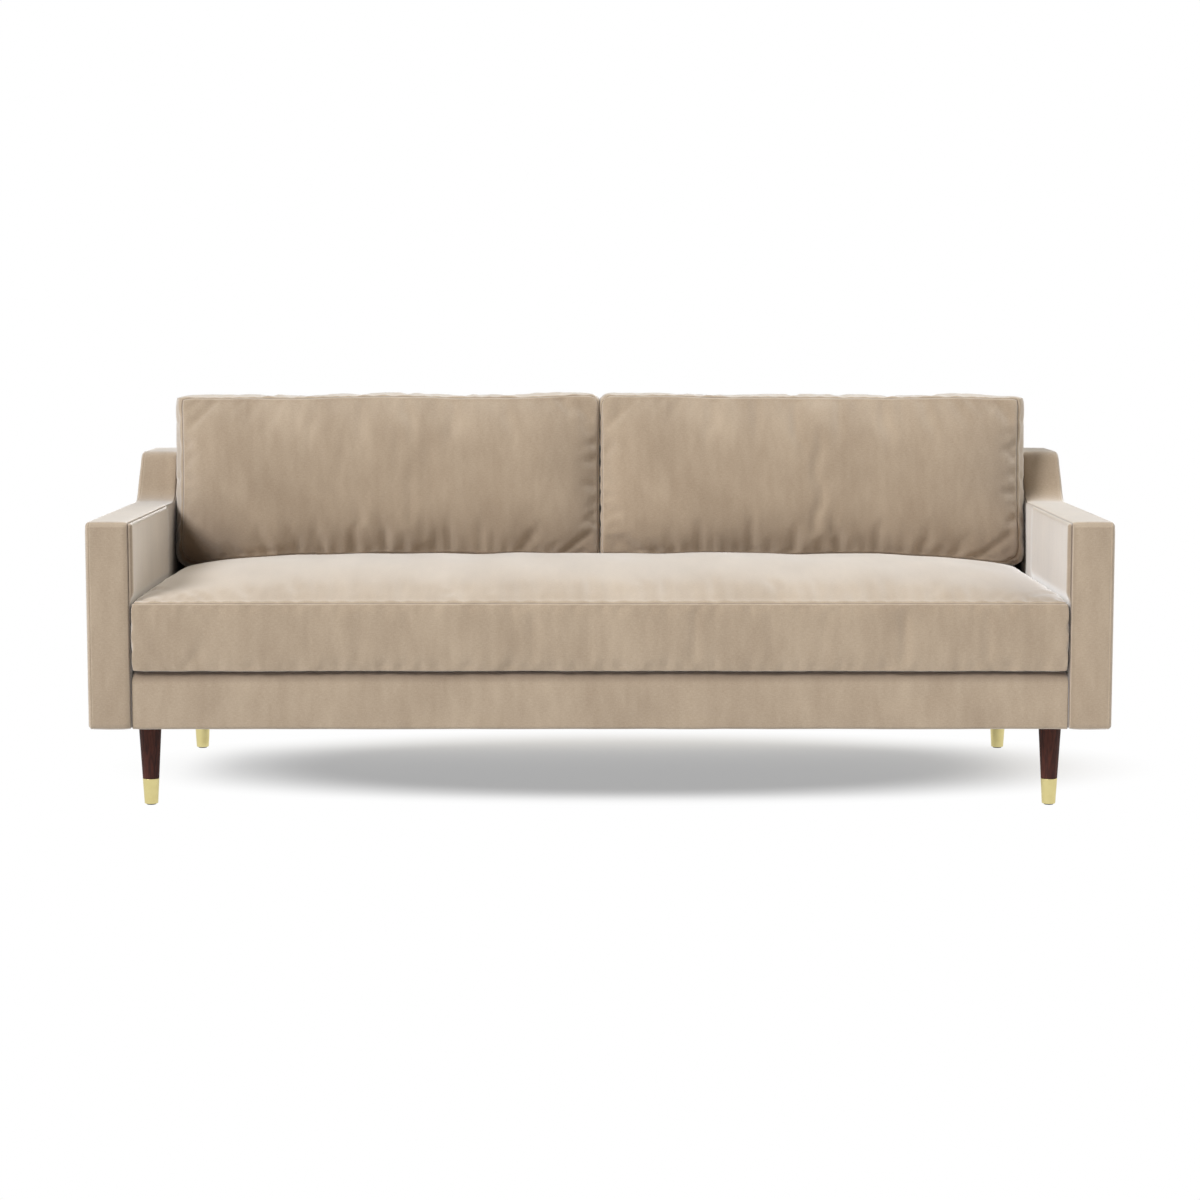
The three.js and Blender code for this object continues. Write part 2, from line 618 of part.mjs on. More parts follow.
// Foam over the inside back, the top and the outside back.
function backFoam() {
  const body = solidOf(runAlong(outline(backCorners, FABRIC + GAP), ...between));
  const hollow = solidOf(runAlong(outline(backCorners,
    [FABRIC + GAP + BACK_FOAM, FABRIC + GAP + BACK_TOP_FOAM, armFrameInset - GAP, -OVERRUN]),
    -halfBetweenArms - OVERRUN, halfBetweenArms + OVERRUN));
  const tuck = blockSolid([-SOFA_WIDTH, SOFA_WIDTH], [0, rearSeatRailRear + HEM_WIDTH], [0, tuckHeight]);
  return geometryOf(body.subtract(hollow).subtract(tuck));
}

// The side of the back's upper rear seam that faces the rear (towards 1) or the front (towards -1).
function besideSeam(towards) {
  const far = towards * (sofaDepth + OVERRUN);
  const seam = WING_TOP_RADIUS - towards * GAP / 2;
  const z0 = towards > 0 ? UNDERSIDE_HEIGHT - OVERRUN : tuckHeight;
  const z1 = backHeight + OVERRUN;
  const side = [[rearFaceY(z0) - seam, z0], [rearFaceY(z1) - seam, z1], [far, z1], [far, z0]];
  return solidOf(runAlong(polygon(towards > 0 ? side : side.reverse()), -SOFA_WIDTH, SOFA_WIDTH));
}

const wholeBackSkin = backSkin();
const rearHem = blockSolid([-SOFA_WIDTH, SOFA_WIDTH], [baseDepth - HEM_WIDTH, sofaDepth + OVERRUN],
  [UNDERSIDE_HEIGHT - OVERRUN, frameBottom]);

add('inside_back_cover', geometryOf(wholeBackSkin.intersect(besideSeam(-1))), finishes.velvet);
add('outside_back_cover', geometryOf(wholeBackSkin.intersect(besideSeam(1).add(rearHem))), finishes.velvet);
add('back_foam', backFoam(), finishes.foam);

// Dust cover under the frame, inside the hems, with a hole for each leg's bolt
function dustCover() {
  const halfX = SOFA_WIDTH / 2 - HEM_WIDTH - GAP;
  const sheet = blockSolid([-halfX, halfX], [hemFront + GAP, baseDepth - HEM_WIDTH - GAP],
    [UNDERSIDE_HEIGHT + GAP, frameBottom - GAP]);
  const holes = [];
  for (const x of [-legX, legX]) {
    for (const y of Object.values(legRows)) {
      const hole = new THREE.CylinderGeometry(BOLT_RADIUS + GAP, BOLT_RADIUS + GAP, 2 * OVERRUN, BOLT_SIDES);
      holes.push(solidOf(hole.rotateX(Math.PI / 2).translate(x, y, UNDERSIDE_HEIGHT)));
    }
  }
  return geometryOf(sheet.subtract(wasm.Manifold.union(holes)));
}

add('dust_cover', dustCover(), finishes.cambric);

// Legs: a turned cone, stepped down at the foot into a metal ferrule

const legRadius = (z) =>
  LEG_FOOT_RADIUS
  + (LEG_TOP_RADIUS - LEG_FOOT_RADIUS) * (z - GLIDE_HEIGHT) / (UNDERSIDE_HEIGHT - GLIDE_HEIGHT);

// A profile of [radius, height] turned about the Z axis.
function turned(profile, sides = LEG_SIDES) {
  const points = profile.map(([r, z]) => new THREE.Vector2(r, z));
  return new THREE.LatheGeometry(points, sides).rotateX(Math.PI / 2);
}

function leg() {
  const spigotFoot = GLIDE_HEIGHT + FERRULE_FLOOR + GAP;
  const spigot = FERRULE_WALL + GAP;
  const boltRoom = BOLT_RADIUS + GAP;
  return turned([
    [0, spigotFoot],
    [legRadius(spigotFoot) - spigot, spigotFoot],
    [legRadius(FERRULE_HEIGHT) - spigot, FERRULE_HEIGHT + GAP],
    [legRadius(FERRULE_HEIGHT + GAP), FERRULE_HEIGHT + GAP],
    [legRadius(legTop - LEG_CHAMFER), legTop - LEG_CHAMFER],
    [legRadius(legTop) - LEG_CHAMFER, legTop],
    [boltRoom, legTop],
    [boltRoom, legTop - BOLT_IN_LEG - GAP],
    [0, legTop - BOLT_IN_LEG - GAP],
  ]);
}

function ferrule() {
  const floorTop = GLIDE_HEIGHT + FERRULE_FLOOR;
  return turned([
    [0, GLIDE_HEIGHT],
    [legRadius(GLIDE_HEIGHT) - FERRULE_WALL / 2, GLIDE_HEIGHT],
    [legRadius(GLIDE_HEIGHT + FERRULE_WALL), GLIDE_HEIGHT + FERRULE_WALL],
    [legRadius(FERRULE_HEIGHT), FERRULE_HEIGHT],
    [legRadius(FERRULE_HEIGHT) - FERRULE_WALL, FERRULE_HEIGHT],
    [legRadius(floorTop) - FERRULE_WALL, floorTop],
    [0, floorTop],
  ]);
}

const glide = () =>
  turned([[0, 0], [GLIDE_RADIUS, 0], [GLIDE_RADIUS, GLIDE_HEIGHT - GAP], [0, GLIDE_HEIGHT - GAP]]);

function hangerBolt() {
  const foot = legTop - BOLT_IN_LEG;
  const tip = frameBottom + BOLT_IN_BLOCK;
  return turned(
    [[0, foot], [BOLT_RADIUS, foot + BOLT_RADIUS], [BOLT_RADIUS, tip - BOLT_RADIUS], [0, tip]],
    BOLT_SIDES);
}

for (const [row, y] of Object.entries(legRows)) {
  for (const [side, x] of [['left', -legX], ['right', legX]]) {
    add(`leg_${row}_${side}`, leg(), finishes.walnut).position.set(x, y, 0);
    add(`ferrule_${row}_${side}`, ferrule(), finishes.brass).position.set(x, y, 0);
    add(`hanger_bolt_${row}_${side}`, hangerBolt(), finishes.steel).position.set(x, y, 0);
    add(`glide_${row}_${side}`, glide(), finishes.nylon).position.set(x, y, 0);
  }
}

// Cushions

// A boxed cushion about the origin: panels face +Z and -Z, joined by a side band. Each point of a
// unit cube's grid moves out to the band, and a panel's points rise by the crown, which is flat in
// the middle and falls to the seam.
function cushionForm(size, [nx, ny, nz]) {
  const cube = new THREE.BoxGeometry(2, 2, 2, nx, ny, nz);
  const points = cube.attributes.position;
  const spread = (t) => Math.sin(t * Math.PI / 2);
  const fall = (t) => (1 - Math.abs(t) ** CROWN_FLATNESS) ** CROWN_SHOULDER;
  for (let i = 0; i < points.count; i += 1) {
    const a = spread(points.getX(i));
    const b = spread(points.getY(i));
    const c = points.getZ(i);
    const band = 1 - c * c;
    const sideBulge = a < 0 ? size.bulgeLeft : size.bulgeRight;
    const corner = CORNER_ROUND * Math.abs(a * b) ** CORNER_SHARPNESS;
    const halfWidth = size.width / 2 - size.pull * (1 - b * b) + sideBulge * band - corner;
    const halfHeight = size.height / 2 - size.pull * (1 - a * a) + size.bulgeEnds * band - corner;
    const rise = (c > 0 ? size.crown : size.belly) * Math.max(fall(a) * fall(b), 0);
    const puff = Math.abs(c) === 1 ? Math.sign(c) * rise : 0;
    points.setXYZ(i, a * halfWidth, b * halfHeight, c * size.boxing / 2 + puff);
  }
  return cube;
}

// The same cushion with every face moved in by a wall.
const shrunk = (size, wall) => ({
  ...size, width: size.width - 2 * wall, height: size.height - 2 * wall, boxing: size.boxing - 2 * wall,
});

const OUTER_GRID = [20, 10, 3];
const INNER_GRID = [10, 6, 1];

// A cushion's cover with its zip mouth, its core and its zip. place puts the cushion on the sofa,
// zipPlace puts the zip's outer face on the cushion, with its depth along -Y, and settledOn gives
// what presses the cushion's foot flat, raised by a wall.
function addCushion(name, size, place, zipPlace, settledOn) {
  const zipOnSofa = place.clone().multiply(zipPlace);
  const halfZip = size.width / 2 - ZIP_END;
  const halfHeight = ZIP_HEIGHT / 2;
  const mouth = block([-halfZip, halfZip], [-ZIP_DEPTH, OVERRUN], [-halfHeight, halfHeight]);
  const throat = block([-halfZip, halfZip], [-2 * COVER_WALL, 0], [-halfHeight / 2, halfHeight / 2]);
  const zip = block(
    [-halfZip + GAP, halfZip - GAP],
    [-ZIP_DEPTH + GAP, 0],
    [-halfHeight + GAP, halfHeight - GAP]);
  const formed = (wall, grid) => {
    const form = solidOf(cushionForm(shrunk(size, wall), grid).applyMatrix4(place));
    return settledOn ? form.subtract(settledOn(wall)) : form;
  };
  const cover = formed(0, OUTER_GRID)
    .subtract(formed(COVER_WALL, INNER_GRID))
    .subtract(solidOf(mouth.applyMatrix4(zipOnSofa)))
    .subtract(solidOf(throat.applyMatrix4(zipOnSofa)));
  add(`${name}_cover`, geometryOf(cover), finishes.velvet);
  add(`${name}_core`, geometryOf(formed(COVER_WALL + CORE_GAP, INNER_GRID)), finishes.foam);
  add(`${name}_zip`, zip.applyMatrix4(zipOnSofa), finishes.zipTape);
}

// Seat cushion: flat underneath, where it lies on the deck
const seatFoot = deckHeight + GAP;
const seatRear = INSIDE_BACK_FOOT - CUSHION_GAP - GAP;
const seatSize = {
  width: 2 * (innerX - CUSHION_GAP - SEAT_SIDE_BULGE),
  height: seatRear - SEAT_SETBACK - 2 * SEAT_FRONT_BULGE,
  boxing: SEAT_BOXING,
  crown: SEAT_CROWN,
  belly: 0,
  bulgeLeft: SEAT_SIDE_BULGE,
  bulgeRight: SEAT_SIDE_BULGE,
  bulgeEnds: SEAT_FRONT_BULGE,
  pull: SEAT_SIDE_PULL,
};
const seatPlace = new THREE.Matrix4().makeTranslation(
  0, (seatRear + SEAT_SETBACK) / 2, seatFoot + SEAT_BOXING / 2);

// Its zip runs along the rear of the side band.
const seatZip = new THREE.Matrix4().makeTranslation(0, seatSize.height / 2 + SEAT_FRONT_BULGE / 2, 0);
addCushion('seat_cushion', seatSize, seatPlace, seatZip);

// The seat cushion's upper form, raised, which a back cushion settles on.
function seatRaised(by) {
  return solidOf(cushionForm(seatSize, OUTER_GRID).applyMatrix4(seatPlace)).translate([0, 0, GAP + by]);
}

// Back cushions lean on the inside back and sit on the seat cushion
const cushionMidZ = seatFoot + SEAT_BOXING - BACK_CUSHION_SINK + BACK_CUSHION_HEIGHT / 2;
const outerEdge = innerX - CUSHION_GAP;
const eachWidth = outerEdge - CUSHION_GAP / 2;

function backCushionSize(side) {
  const leftEnd = side === 'left' ? BACK_OUTER_BULGE : BACK_INNER_BULGE;
  const rightEnd = side === 'left' ? BACK_INNER_BULGE : BACK_OUTER_BULGE;
  return {
    width: eachWidth - BACK_OUTER_BULGE - BACK_INNER_BULGE,
    height: BACK_CUSHION_HEIGHT / Math.cos(BACK_LEAN),
    boxing: BACK_CUSHION_BOXING,
    crown: BACK_CUSHION_CROWN,
    belly: BACK_CUSHION_BELLY,
    bulgeLeft: leftEnd,
    bulgeRight: rightEnd,
    bulgeEnds: BACK_END_BULGE,
    pull: BACK_PULL,
  };
}

for (const [side, way] of [['left', -1], ['right', 1]]) {
  const size = backCushionSize(side);
  const seamMiddle = way * (CUSHION_GAP / 2 + BACK_INNER_BULGE + size.width / 2);
  const behind = BACK_CUSHION_BELLY + CUSHION_GAP + BACK_CUSHION_BOXING / 2;
  const place = new THREE.Matrix4()
    .makeTranslation(seamMiddle, insideBackY(cushionMidZ, -behind), cushionMidZ)
    .multiply(new THREE.Matrix4().makeRotationX(Math.PI / 2 - BACK_LEAN));
  const zipPlace = new THREE.Matrix4()
    .makeTranslation(0, -size.height / 2 + BACK_ZIP_UP, -size.boxing / 2 - size.belly * ZIP_BELLY_SHARE)
    .multiply(new THREE.Matrix4().makeRotationX(-Math.PI / 2));
  addCushion(`back_cushion_${side}`, size, place, zipPlace, seatRaised);
}

// The origin is the middle of the footprint.
const extent = new THREE.Box3().setFromObject(sofa);
sofa.position.y = -(extent.min.y + extent.max.y) / 2;

export default sofa;
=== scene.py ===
"""Visual model of a wide three-seat sofa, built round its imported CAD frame.

Thin velvet arms sweep up into the back, one long seat cushion lies between them, two loose back
cushions lean behind it, and four turned legs end in brass. All lengths are in metres, with x to the
right, y to the rear and z up.
"""

import logging
import math
from collections.abc import Callable, Mapping, Sequence
from dataclasses import dataclass, field
from enum import Enum

import bmesh
import bpy
import numpy as np
from numpy.typing import NDArray
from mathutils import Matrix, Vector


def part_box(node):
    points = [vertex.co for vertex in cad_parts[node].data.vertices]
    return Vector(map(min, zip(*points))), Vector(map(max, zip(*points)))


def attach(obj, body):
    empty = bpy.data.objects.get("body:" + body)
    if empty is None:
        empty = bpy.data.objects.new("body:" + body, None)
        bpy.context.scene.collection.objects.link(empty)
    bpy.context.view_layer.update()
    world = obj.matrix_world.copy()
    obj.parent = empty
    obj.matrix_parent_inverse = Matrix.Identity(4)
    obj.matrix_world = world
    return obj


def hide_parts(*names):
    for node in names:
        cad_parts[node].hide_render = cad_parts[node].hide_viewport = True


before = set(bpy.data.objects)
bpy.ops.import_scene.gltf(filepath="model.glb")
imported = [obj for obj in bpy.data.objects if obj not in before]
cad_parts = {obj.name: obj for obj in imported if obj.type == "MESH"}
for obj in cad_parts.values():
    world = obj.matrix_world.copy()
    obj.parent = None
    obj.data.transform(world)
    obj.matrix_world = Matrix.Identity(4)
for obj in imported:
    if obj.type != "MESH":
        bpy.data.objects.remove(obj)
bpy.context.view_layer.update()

Array = NDArray[np.float64]
Corner = tuple[float, float, float]
Colour = tuple[float, float, float, float]
Stations = tuple[Array, Array, Array]
Node, Socket, Tree = bpy.types.Node, bpy.types.NodeSocket, bpy.types.NodeTree
Material, Piece = bpy.types.Material, bpy.types.Object
LOG = logging.getLogger("sofa")

MM = 0.001
TINY = 1e-12
SHARP = 1e-6
FINE = 0.4 * MM
CLEAR = 0.8 * MM
# The fold attribute holds painted shade: velvet darkened where shade falls in folds, gaps and corners between
# pieces.
CLOTH_MAP, SEAM_MARK, PAINTED_SHADE_MARK = "cloth", "seam", "fold"
(_, FRONT, BASE), (_, REAR, BACK_TOP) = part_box("arm_cover_left")
INNER_X, OUTER_X = (corner.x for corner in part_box("arm_cover_right"))
BETWEEN_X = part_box("rail_cover")[1].x
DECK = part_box("deck_cover")[1].z
ARM_TOP = 625 * MM
HEM = BASE - 1.4 * MM
SEAT_DEPTH = 752 * MM
SEAT_BOXING = 147 * MM
BACK_FOOT = FRONT + SEAT_DEPTH
BASE_REAR = FRONT + 925 * MM
BACK_LEAN = math.radians(8)
ACROSS = np.array([1.0, 0, 0])
UP_BACK = np.array([0, math.sin(BACK_LEAN), math.cos(BACK_LEAN)])
OFF_BACK = np.array([0, -math.cos(BACK_LEAN), math.sin(BACK_LEAN)])


def mm(*values: float) -> tuple[float, ...]:
    """Millimetres in metres."""
    return tuple(value * MM for value in values)


def srgb(red: int, green: int, blue: int) -> Colour:
    """Turns a colour as it is seen, 0 to 255, into the linear one that shaders take.

    Args:
        red: red of the seen colour.
        green: green of it.
        blue: blue of it.

    Returns:
        Linear red, green and blue with full alpha.
    """
    seen = np.array([red, green, blue]) / 255
    linear = np.where(seen <= 0.04045, seen / 12.92, ((seen + 0.055) / 1.055) ** 2.4)
    return (*linear.tolist(), 1.0)


def inside_back(z: Array | float) -> Array | float:
    """Depth of the inside back's face at a height: a plane that leans back by BACK_LEAN from the deck."""
    return BACK_FOOT + (z - DECK) * math.tan(BACK_LEAN)


def outside_back(z: Array | float) -> Array | float:
    """Depth of the outside back's face at a height: a straight line from the base up to the rear's top."""
    return BASE_REAR + (REAR - BASE_REAR) * (z - BASE) / (BACK_TOP - BASE)


def smooth_step(value: Array, low: float, high: float) -> Array:
    """Rises from 0 at low to 1 at high as 3 t^2 - 2 t^3."""
    t = np.clip((value - low) / (high - low), 0, 1)
    return t * t * (3 - 2 * t)


def soft_limit(value: Array, limit: float, ease: float) -> Array:
    """Keeps values under a limit: from limit - ease on they bend to limit - ease e^(-past / ease)."""
    past = value - (limit - ease)
    return np.where(past > 0, limit - ease * np.exp(-np.maximum(past, 0) / ease), value)


def bell(away: Array, width: Array | float) -> Array:
    """Falls off on both sides of 0 as e^(-(d / width)^2)."""
    return np.exp(-((away / width) ** 2))


def groove(away: Array, depth: float, width: float) -> Array:
    """Height across a seam: -depth e^(-(d / width)^2), with a lip of a quarter of it at 2.6 widths."""
    return depth * (0.25 * bell(away - 2.6 * width, 1.4 * width) - bell(away, width))


def roll_off(distance: Array, radius: float) -> Array:
    """How far a rounded edge falls back at a distance from it: r - sqrt(r^2 - (r - d)^2) within r."""
    return radius - np.sqrt(np.maximum(radius**2 - np.clip(radius - distance, 0, radius) ** 2, 0))


def knots(length: float, cell: float, near_ends: Sequence[float]) -> Array:
    """Places along a length: those of near_ends from both ends, and even cells between.

    Args:
        length: the whole length.
        cell: wanted size of the even cells.
        near_ends: distances from each end, starting with 0.

    Returns:
        Rising places from 0 to length.
    """
    ends, last = np.array(near_ends[:-1]), near_ends[-1]
    count = max(1, round((length - 2 * last) / cell))
    return np.concatenate([ends, np.linspace(last, length - last, count + 1), length - ends[::-1]])


def walked_along(line: Array) -> Array:
    """Length walked to each point of a line."""
    return np.append(0, np.cumsum(np.linalg.norm(np.diff(line, axis=0), axis=1)))


def rows_at(place: Array, places: Array, rows: Array) -> Array:
    """Rows of values between those that are known at the given places."""
    return np.stack([np.interp(place, places, column) for column in rows.T], -1)


def spline_weights(at: Array, to: Array) -> Array:
    """Matrix that carries values at knots to other places along a natural cubic spline.

    The second derivatives solve the usual tridiagonal system, and a value between two knots is
    u/h f0 + t/h f1 + (u^3 - u h^2)/6h s0 + (t^3 - t h^2)/6h s1.

    Args:
        at: the knots, rising.
        to: the wanted places.

    Returns:
        Weights of shape (len(to), len(at)).
    """
    count, steps = len(at), np.diff(at)
    system, right = np.eye(count), np.zeros((count, count))
    i = np.arange(1, count - 1)
    system[i, i - 1], system[i, i], system[i, i + 1] = steps[i - 1], 2 * (steps[i - 1] + steps[i]), steps[i]
    right[i, i - 1], right[i, i + 1] = 6 / steps[i - 1], 6 / steps[i]
    right[i, i] = -right[i, i - 1] - right[i, i + 1]
    second = np.linalg.solve(system, right)
    k = np.clip(np.searchsorted(at, to, side="right") - 1, 0, count - 2)
    h, t, u = steps[k], to - at[k], at[k + 1] - to
    weights = ((u**3 / h - u * h) / 6)[:, None] * second[k]
    weights += ((t**3 / h - t * h) / 6)[:, None] * second[k + 1]
    rows = np.arange(len(to))
    weights[rows, k] += u / h
    weights[rows, k + 1] += t / h
    return weights


@dataclass
class Panel:
    """A grid of points with one face between every four.

    Attributes:
        points: places, shape (m, n, 3).
        cloth: the same points on the flat cloth, shape (m, n, 2).
        marks: further values by name, each of shape (m, n).
        flip: turns the faces over.
    """

    points: Array
    cloth: Array
    marks: Mapping[str, Array] = field(default_factory=dict)
    flip: bool = False


@dataclass
class Shell:
    """Panels welded into one mesh.

    Attributes:
        points: places, shape (n, 3).
        faces: four point numbers each; a number repeated next to itself makes a triangle.
        cloth: flat cloth coordinates of each face's corners, shape (faces, 4, 2).
        marks: further values at the points, by name.
        grids: point numbers of each panel's grid.
    """

    points: Array
    faces: NDArray[np.int64]
    cloth: Array
    marks: dict[str, Array]
    grids: list[NDArray[np.int64]]

    @classmethod
    def weld(cls, panels: Sequence[Panel]) -> "Shell":
        """Joins panels where their points lie within about 0.01 mm of each other.

        Args:
            panels: the grids; a mark is kept if all of them have it.

        Returns:
            The welded shell.
        """
        every = np.concatenate([p.points.reshape(-1, 3) for p in panels])
        near = np.round(every / (0.01 * MM) + 0.137).astype(np.int64)
        _, first, index = np.unique(near, axis=0, return_index=True, return_inverse=True)
        names = [name for name in panels[0].marks if all(name in p.marks for p in panels)]
        marks = {name: np.concatenate([p.marks[name].ravel() for p in panels])[first] for name in names}
        grids, faces, cloth, start = [], [], [], 0
        for panel in panels:
            m, n = panel.points.shape[:2]
            grid = index.ravel()[start : start + m * n].reshape(m, n)
            start += m * n
            order = [(0, 0), (1, 0), (1, 1), (0, 1)][:: -1 if panel.flip else 1]
            corners = [(slice(i, m - 1 + i), slice(j, n - 1 + j)) for i, j in order]
            grids.append(grid)
            faces.append(np.stack([grid[c].ravel() for c in corners], -1))
            cloth.append(np.stack([panel.cloth[c].reshape(-1, 2) for c in corners], 1))
        return cls(every[first], np.concatenate(faces), np.concatenate(cloth), marks, grids)

    def normals(self) -> Array:
        """Unit normals at the points: the sum of the crossed diagonals of the faces round each.

        Returns:
            Normals of shape (n, 3).
        """
        corners = self.points[self.faces]
        across = np.cross(corners[:, 2] - corners[:, 0], corners[:, 3] - corners[:, 1])
        total = np.zeros_like(self.points)
        for axis in range(3):
            for corner in range(4):
                total[:, axis] += np.bincount(self.faces[:, corner], across[:, axis], len(self.points))
        return total / np.maximum(np.linalg.norm(total, axis=1, keepdims=True), TINY)

    def build(self, name: str, material: Material) -> Piece:
        """Makes a Blender object of the shell, faces outwards and shaded smooth.

        Args:
            name: the piece's name.
            material: its finish.

        Returns:
            The new object, in the scene.
        """
        keep = self.faces != np.roll(self.faces, -1, axis=1)
        whole = keep.sum(1) > 2
        keep, faces, cloth = keep[whole], self.faces[whole], self.cloth[whole]
        counts = keep.sum(1)
        mesh = bpy.data.meshes.new(name)
        mesh.vertices.add(len(self.points))
        mesh.vertices.foreach_set("co", self.points.astype(np.float32).ravel())
        mesh.loops.add(int(counts.sum()))
        mesh.loops.foreach_set("vertex_index", faces[keep].astype(np.int32))
        mesh.polygons.add(len(counts))
        mesh.polygons.foreach_set("loop_start", np.append(0, np.cumsum(counts)[:-1]).astype(np.int32))
        mesh.update(calc_edges=True)
        layer = mesh.uv_layers.new(name=CLOTH_MAP)
        layer.data.foreach_set("uv", cloth[keep].astype(np.float32).ravel())
        for label in (SEAM_MARK, PAINTED_SHADE_MARK):
            if label in self.marks:
                mark = mesh.attributes.new(label, "FLOAT", "POINT")
                mark.data.foreach_set("value", self.marks[label].astype(np.float32))
        mesh.polygons.foreach_set("use_smooth", np.ones(len(counts), bool))
        loose = bmesh.new()
        loose.from_mesh(mesh)
        bmesh.ops.recalc_face_normals(loose, faces=loose.faces)
        loose.to_mesh(mesh)
        loose.free()
        mesh.materials.append(material)
        piece = bpy.data.objects.new(name, mesh)
        bpy.context.scene.collection.objects.link(piece)
        LOG.info("%s: %d faces", name, len(mesh.polygons))
        return piece


def hand_in(
    piece: Piece, slot: str, *nodes: str, fill: float | None = None, body: str = "sofa_frame",
) -> Piece:
    """Args:
        piece: the piece.
        slot: not used.
        nodes: the CAD nodes that it replaces.
        fill: not used.
        body: the body that it rides on.

    Returns:
        The piece.
    """
    if nodes:
        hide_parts(*nodes)
    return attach(piece, body)


def grid_of(points: Array) -> Array:
    """Flat cloth coordinates of a grid: the mean length walked along each of its two directions."""
    steps = (np.linalg.norm(np.diff(points, axis=way), axis=2).mean(1 - way) for way in (0, 1))
    return np.stack(np.meshgrid(*(np.append(0, np.cumsum(s)) for s in steps), indexing="ij"), -1)


def slab(outer: Array, inner: Array, cloth: Array | None = None, **marks: Array) -> list[Panel]:
    """A closed body between two grids of one shape: both grids and the four strips that join their edges.

    Args:
        outer: the shown side, shape (m, n, 3).
        inner: the hidden side, in the same shape.
        cloth: flat cloth coordinates of the outer side, or None to walk them off.
        marks: seam marks and painted shade marks on the outer side, 0 where left out.

    Returns:
        Six panels.
    """
    flat = grid_of(outer) if cloth is None else cloth
    none = np.zeros(outer.shape[:2])
    shown = {label: marks.get(label, none) for label in (SEAM_MARK, PAINTED_SHADE_MARK)}
    panels = [Panel(outer, flat, shown), Panel(inner, flat, dict.fromkeys(shown, none), flip=True)]
    for edge in (np.s_[0], np.s_[-1], np.s_[:, 0], np.s_[:, -1]):
        strip = np.stack([outer[edge], inner[edge]])
        sides = {label: np.stack([mark[edge], none[edge]]) for label, mark in shown.items()}
        panels.append(Panel(strip, grid_of(strip), sides))
    return panels


def swept(x: Array, line: Array, out: Array, inset: Array) -> Array:
    """Carries a side profile across the sofa as (x, line - inset out), shape (len(x), len(line), 3)."""
    side = line - out * inset[..., None]
    return np.concatenate([np.broadcast_to(x[:, None, None], (*inset.shape, 1)), side], -1)


def flat_of(x: Array, walked: Array) -> Array:
    """Flat cloth coordinates of a swept profile."""
    return np.stack(np.broadcast_arrays(x[:, None], walked), -1)


def tray(node: str, cells: Sequence[float], near_ends: Sequence[float]) -> tuple[Array, Array, Array]:
    """A level grid over the box of a node that is as far to the left as to the right.

    Args:
        node: the CAD node.
        cells: wanted cells across and in depth.
        near_ends: places near every edge.

    Returns:
        x, y and the distance from the nearest edge.
    """
    low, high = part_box(node)
    x = knots(2 * high.x, cells[0], near_ends) - high.x
    wide, deep = np.meshgrid(x, knots(high.y - low.y, cells[1], near_ends) + low.y, indexing="ij")
    return wide, deep, np.minimum(high.x - np.abs(wide), np.minimum(deep - low.y, high.y - deep))


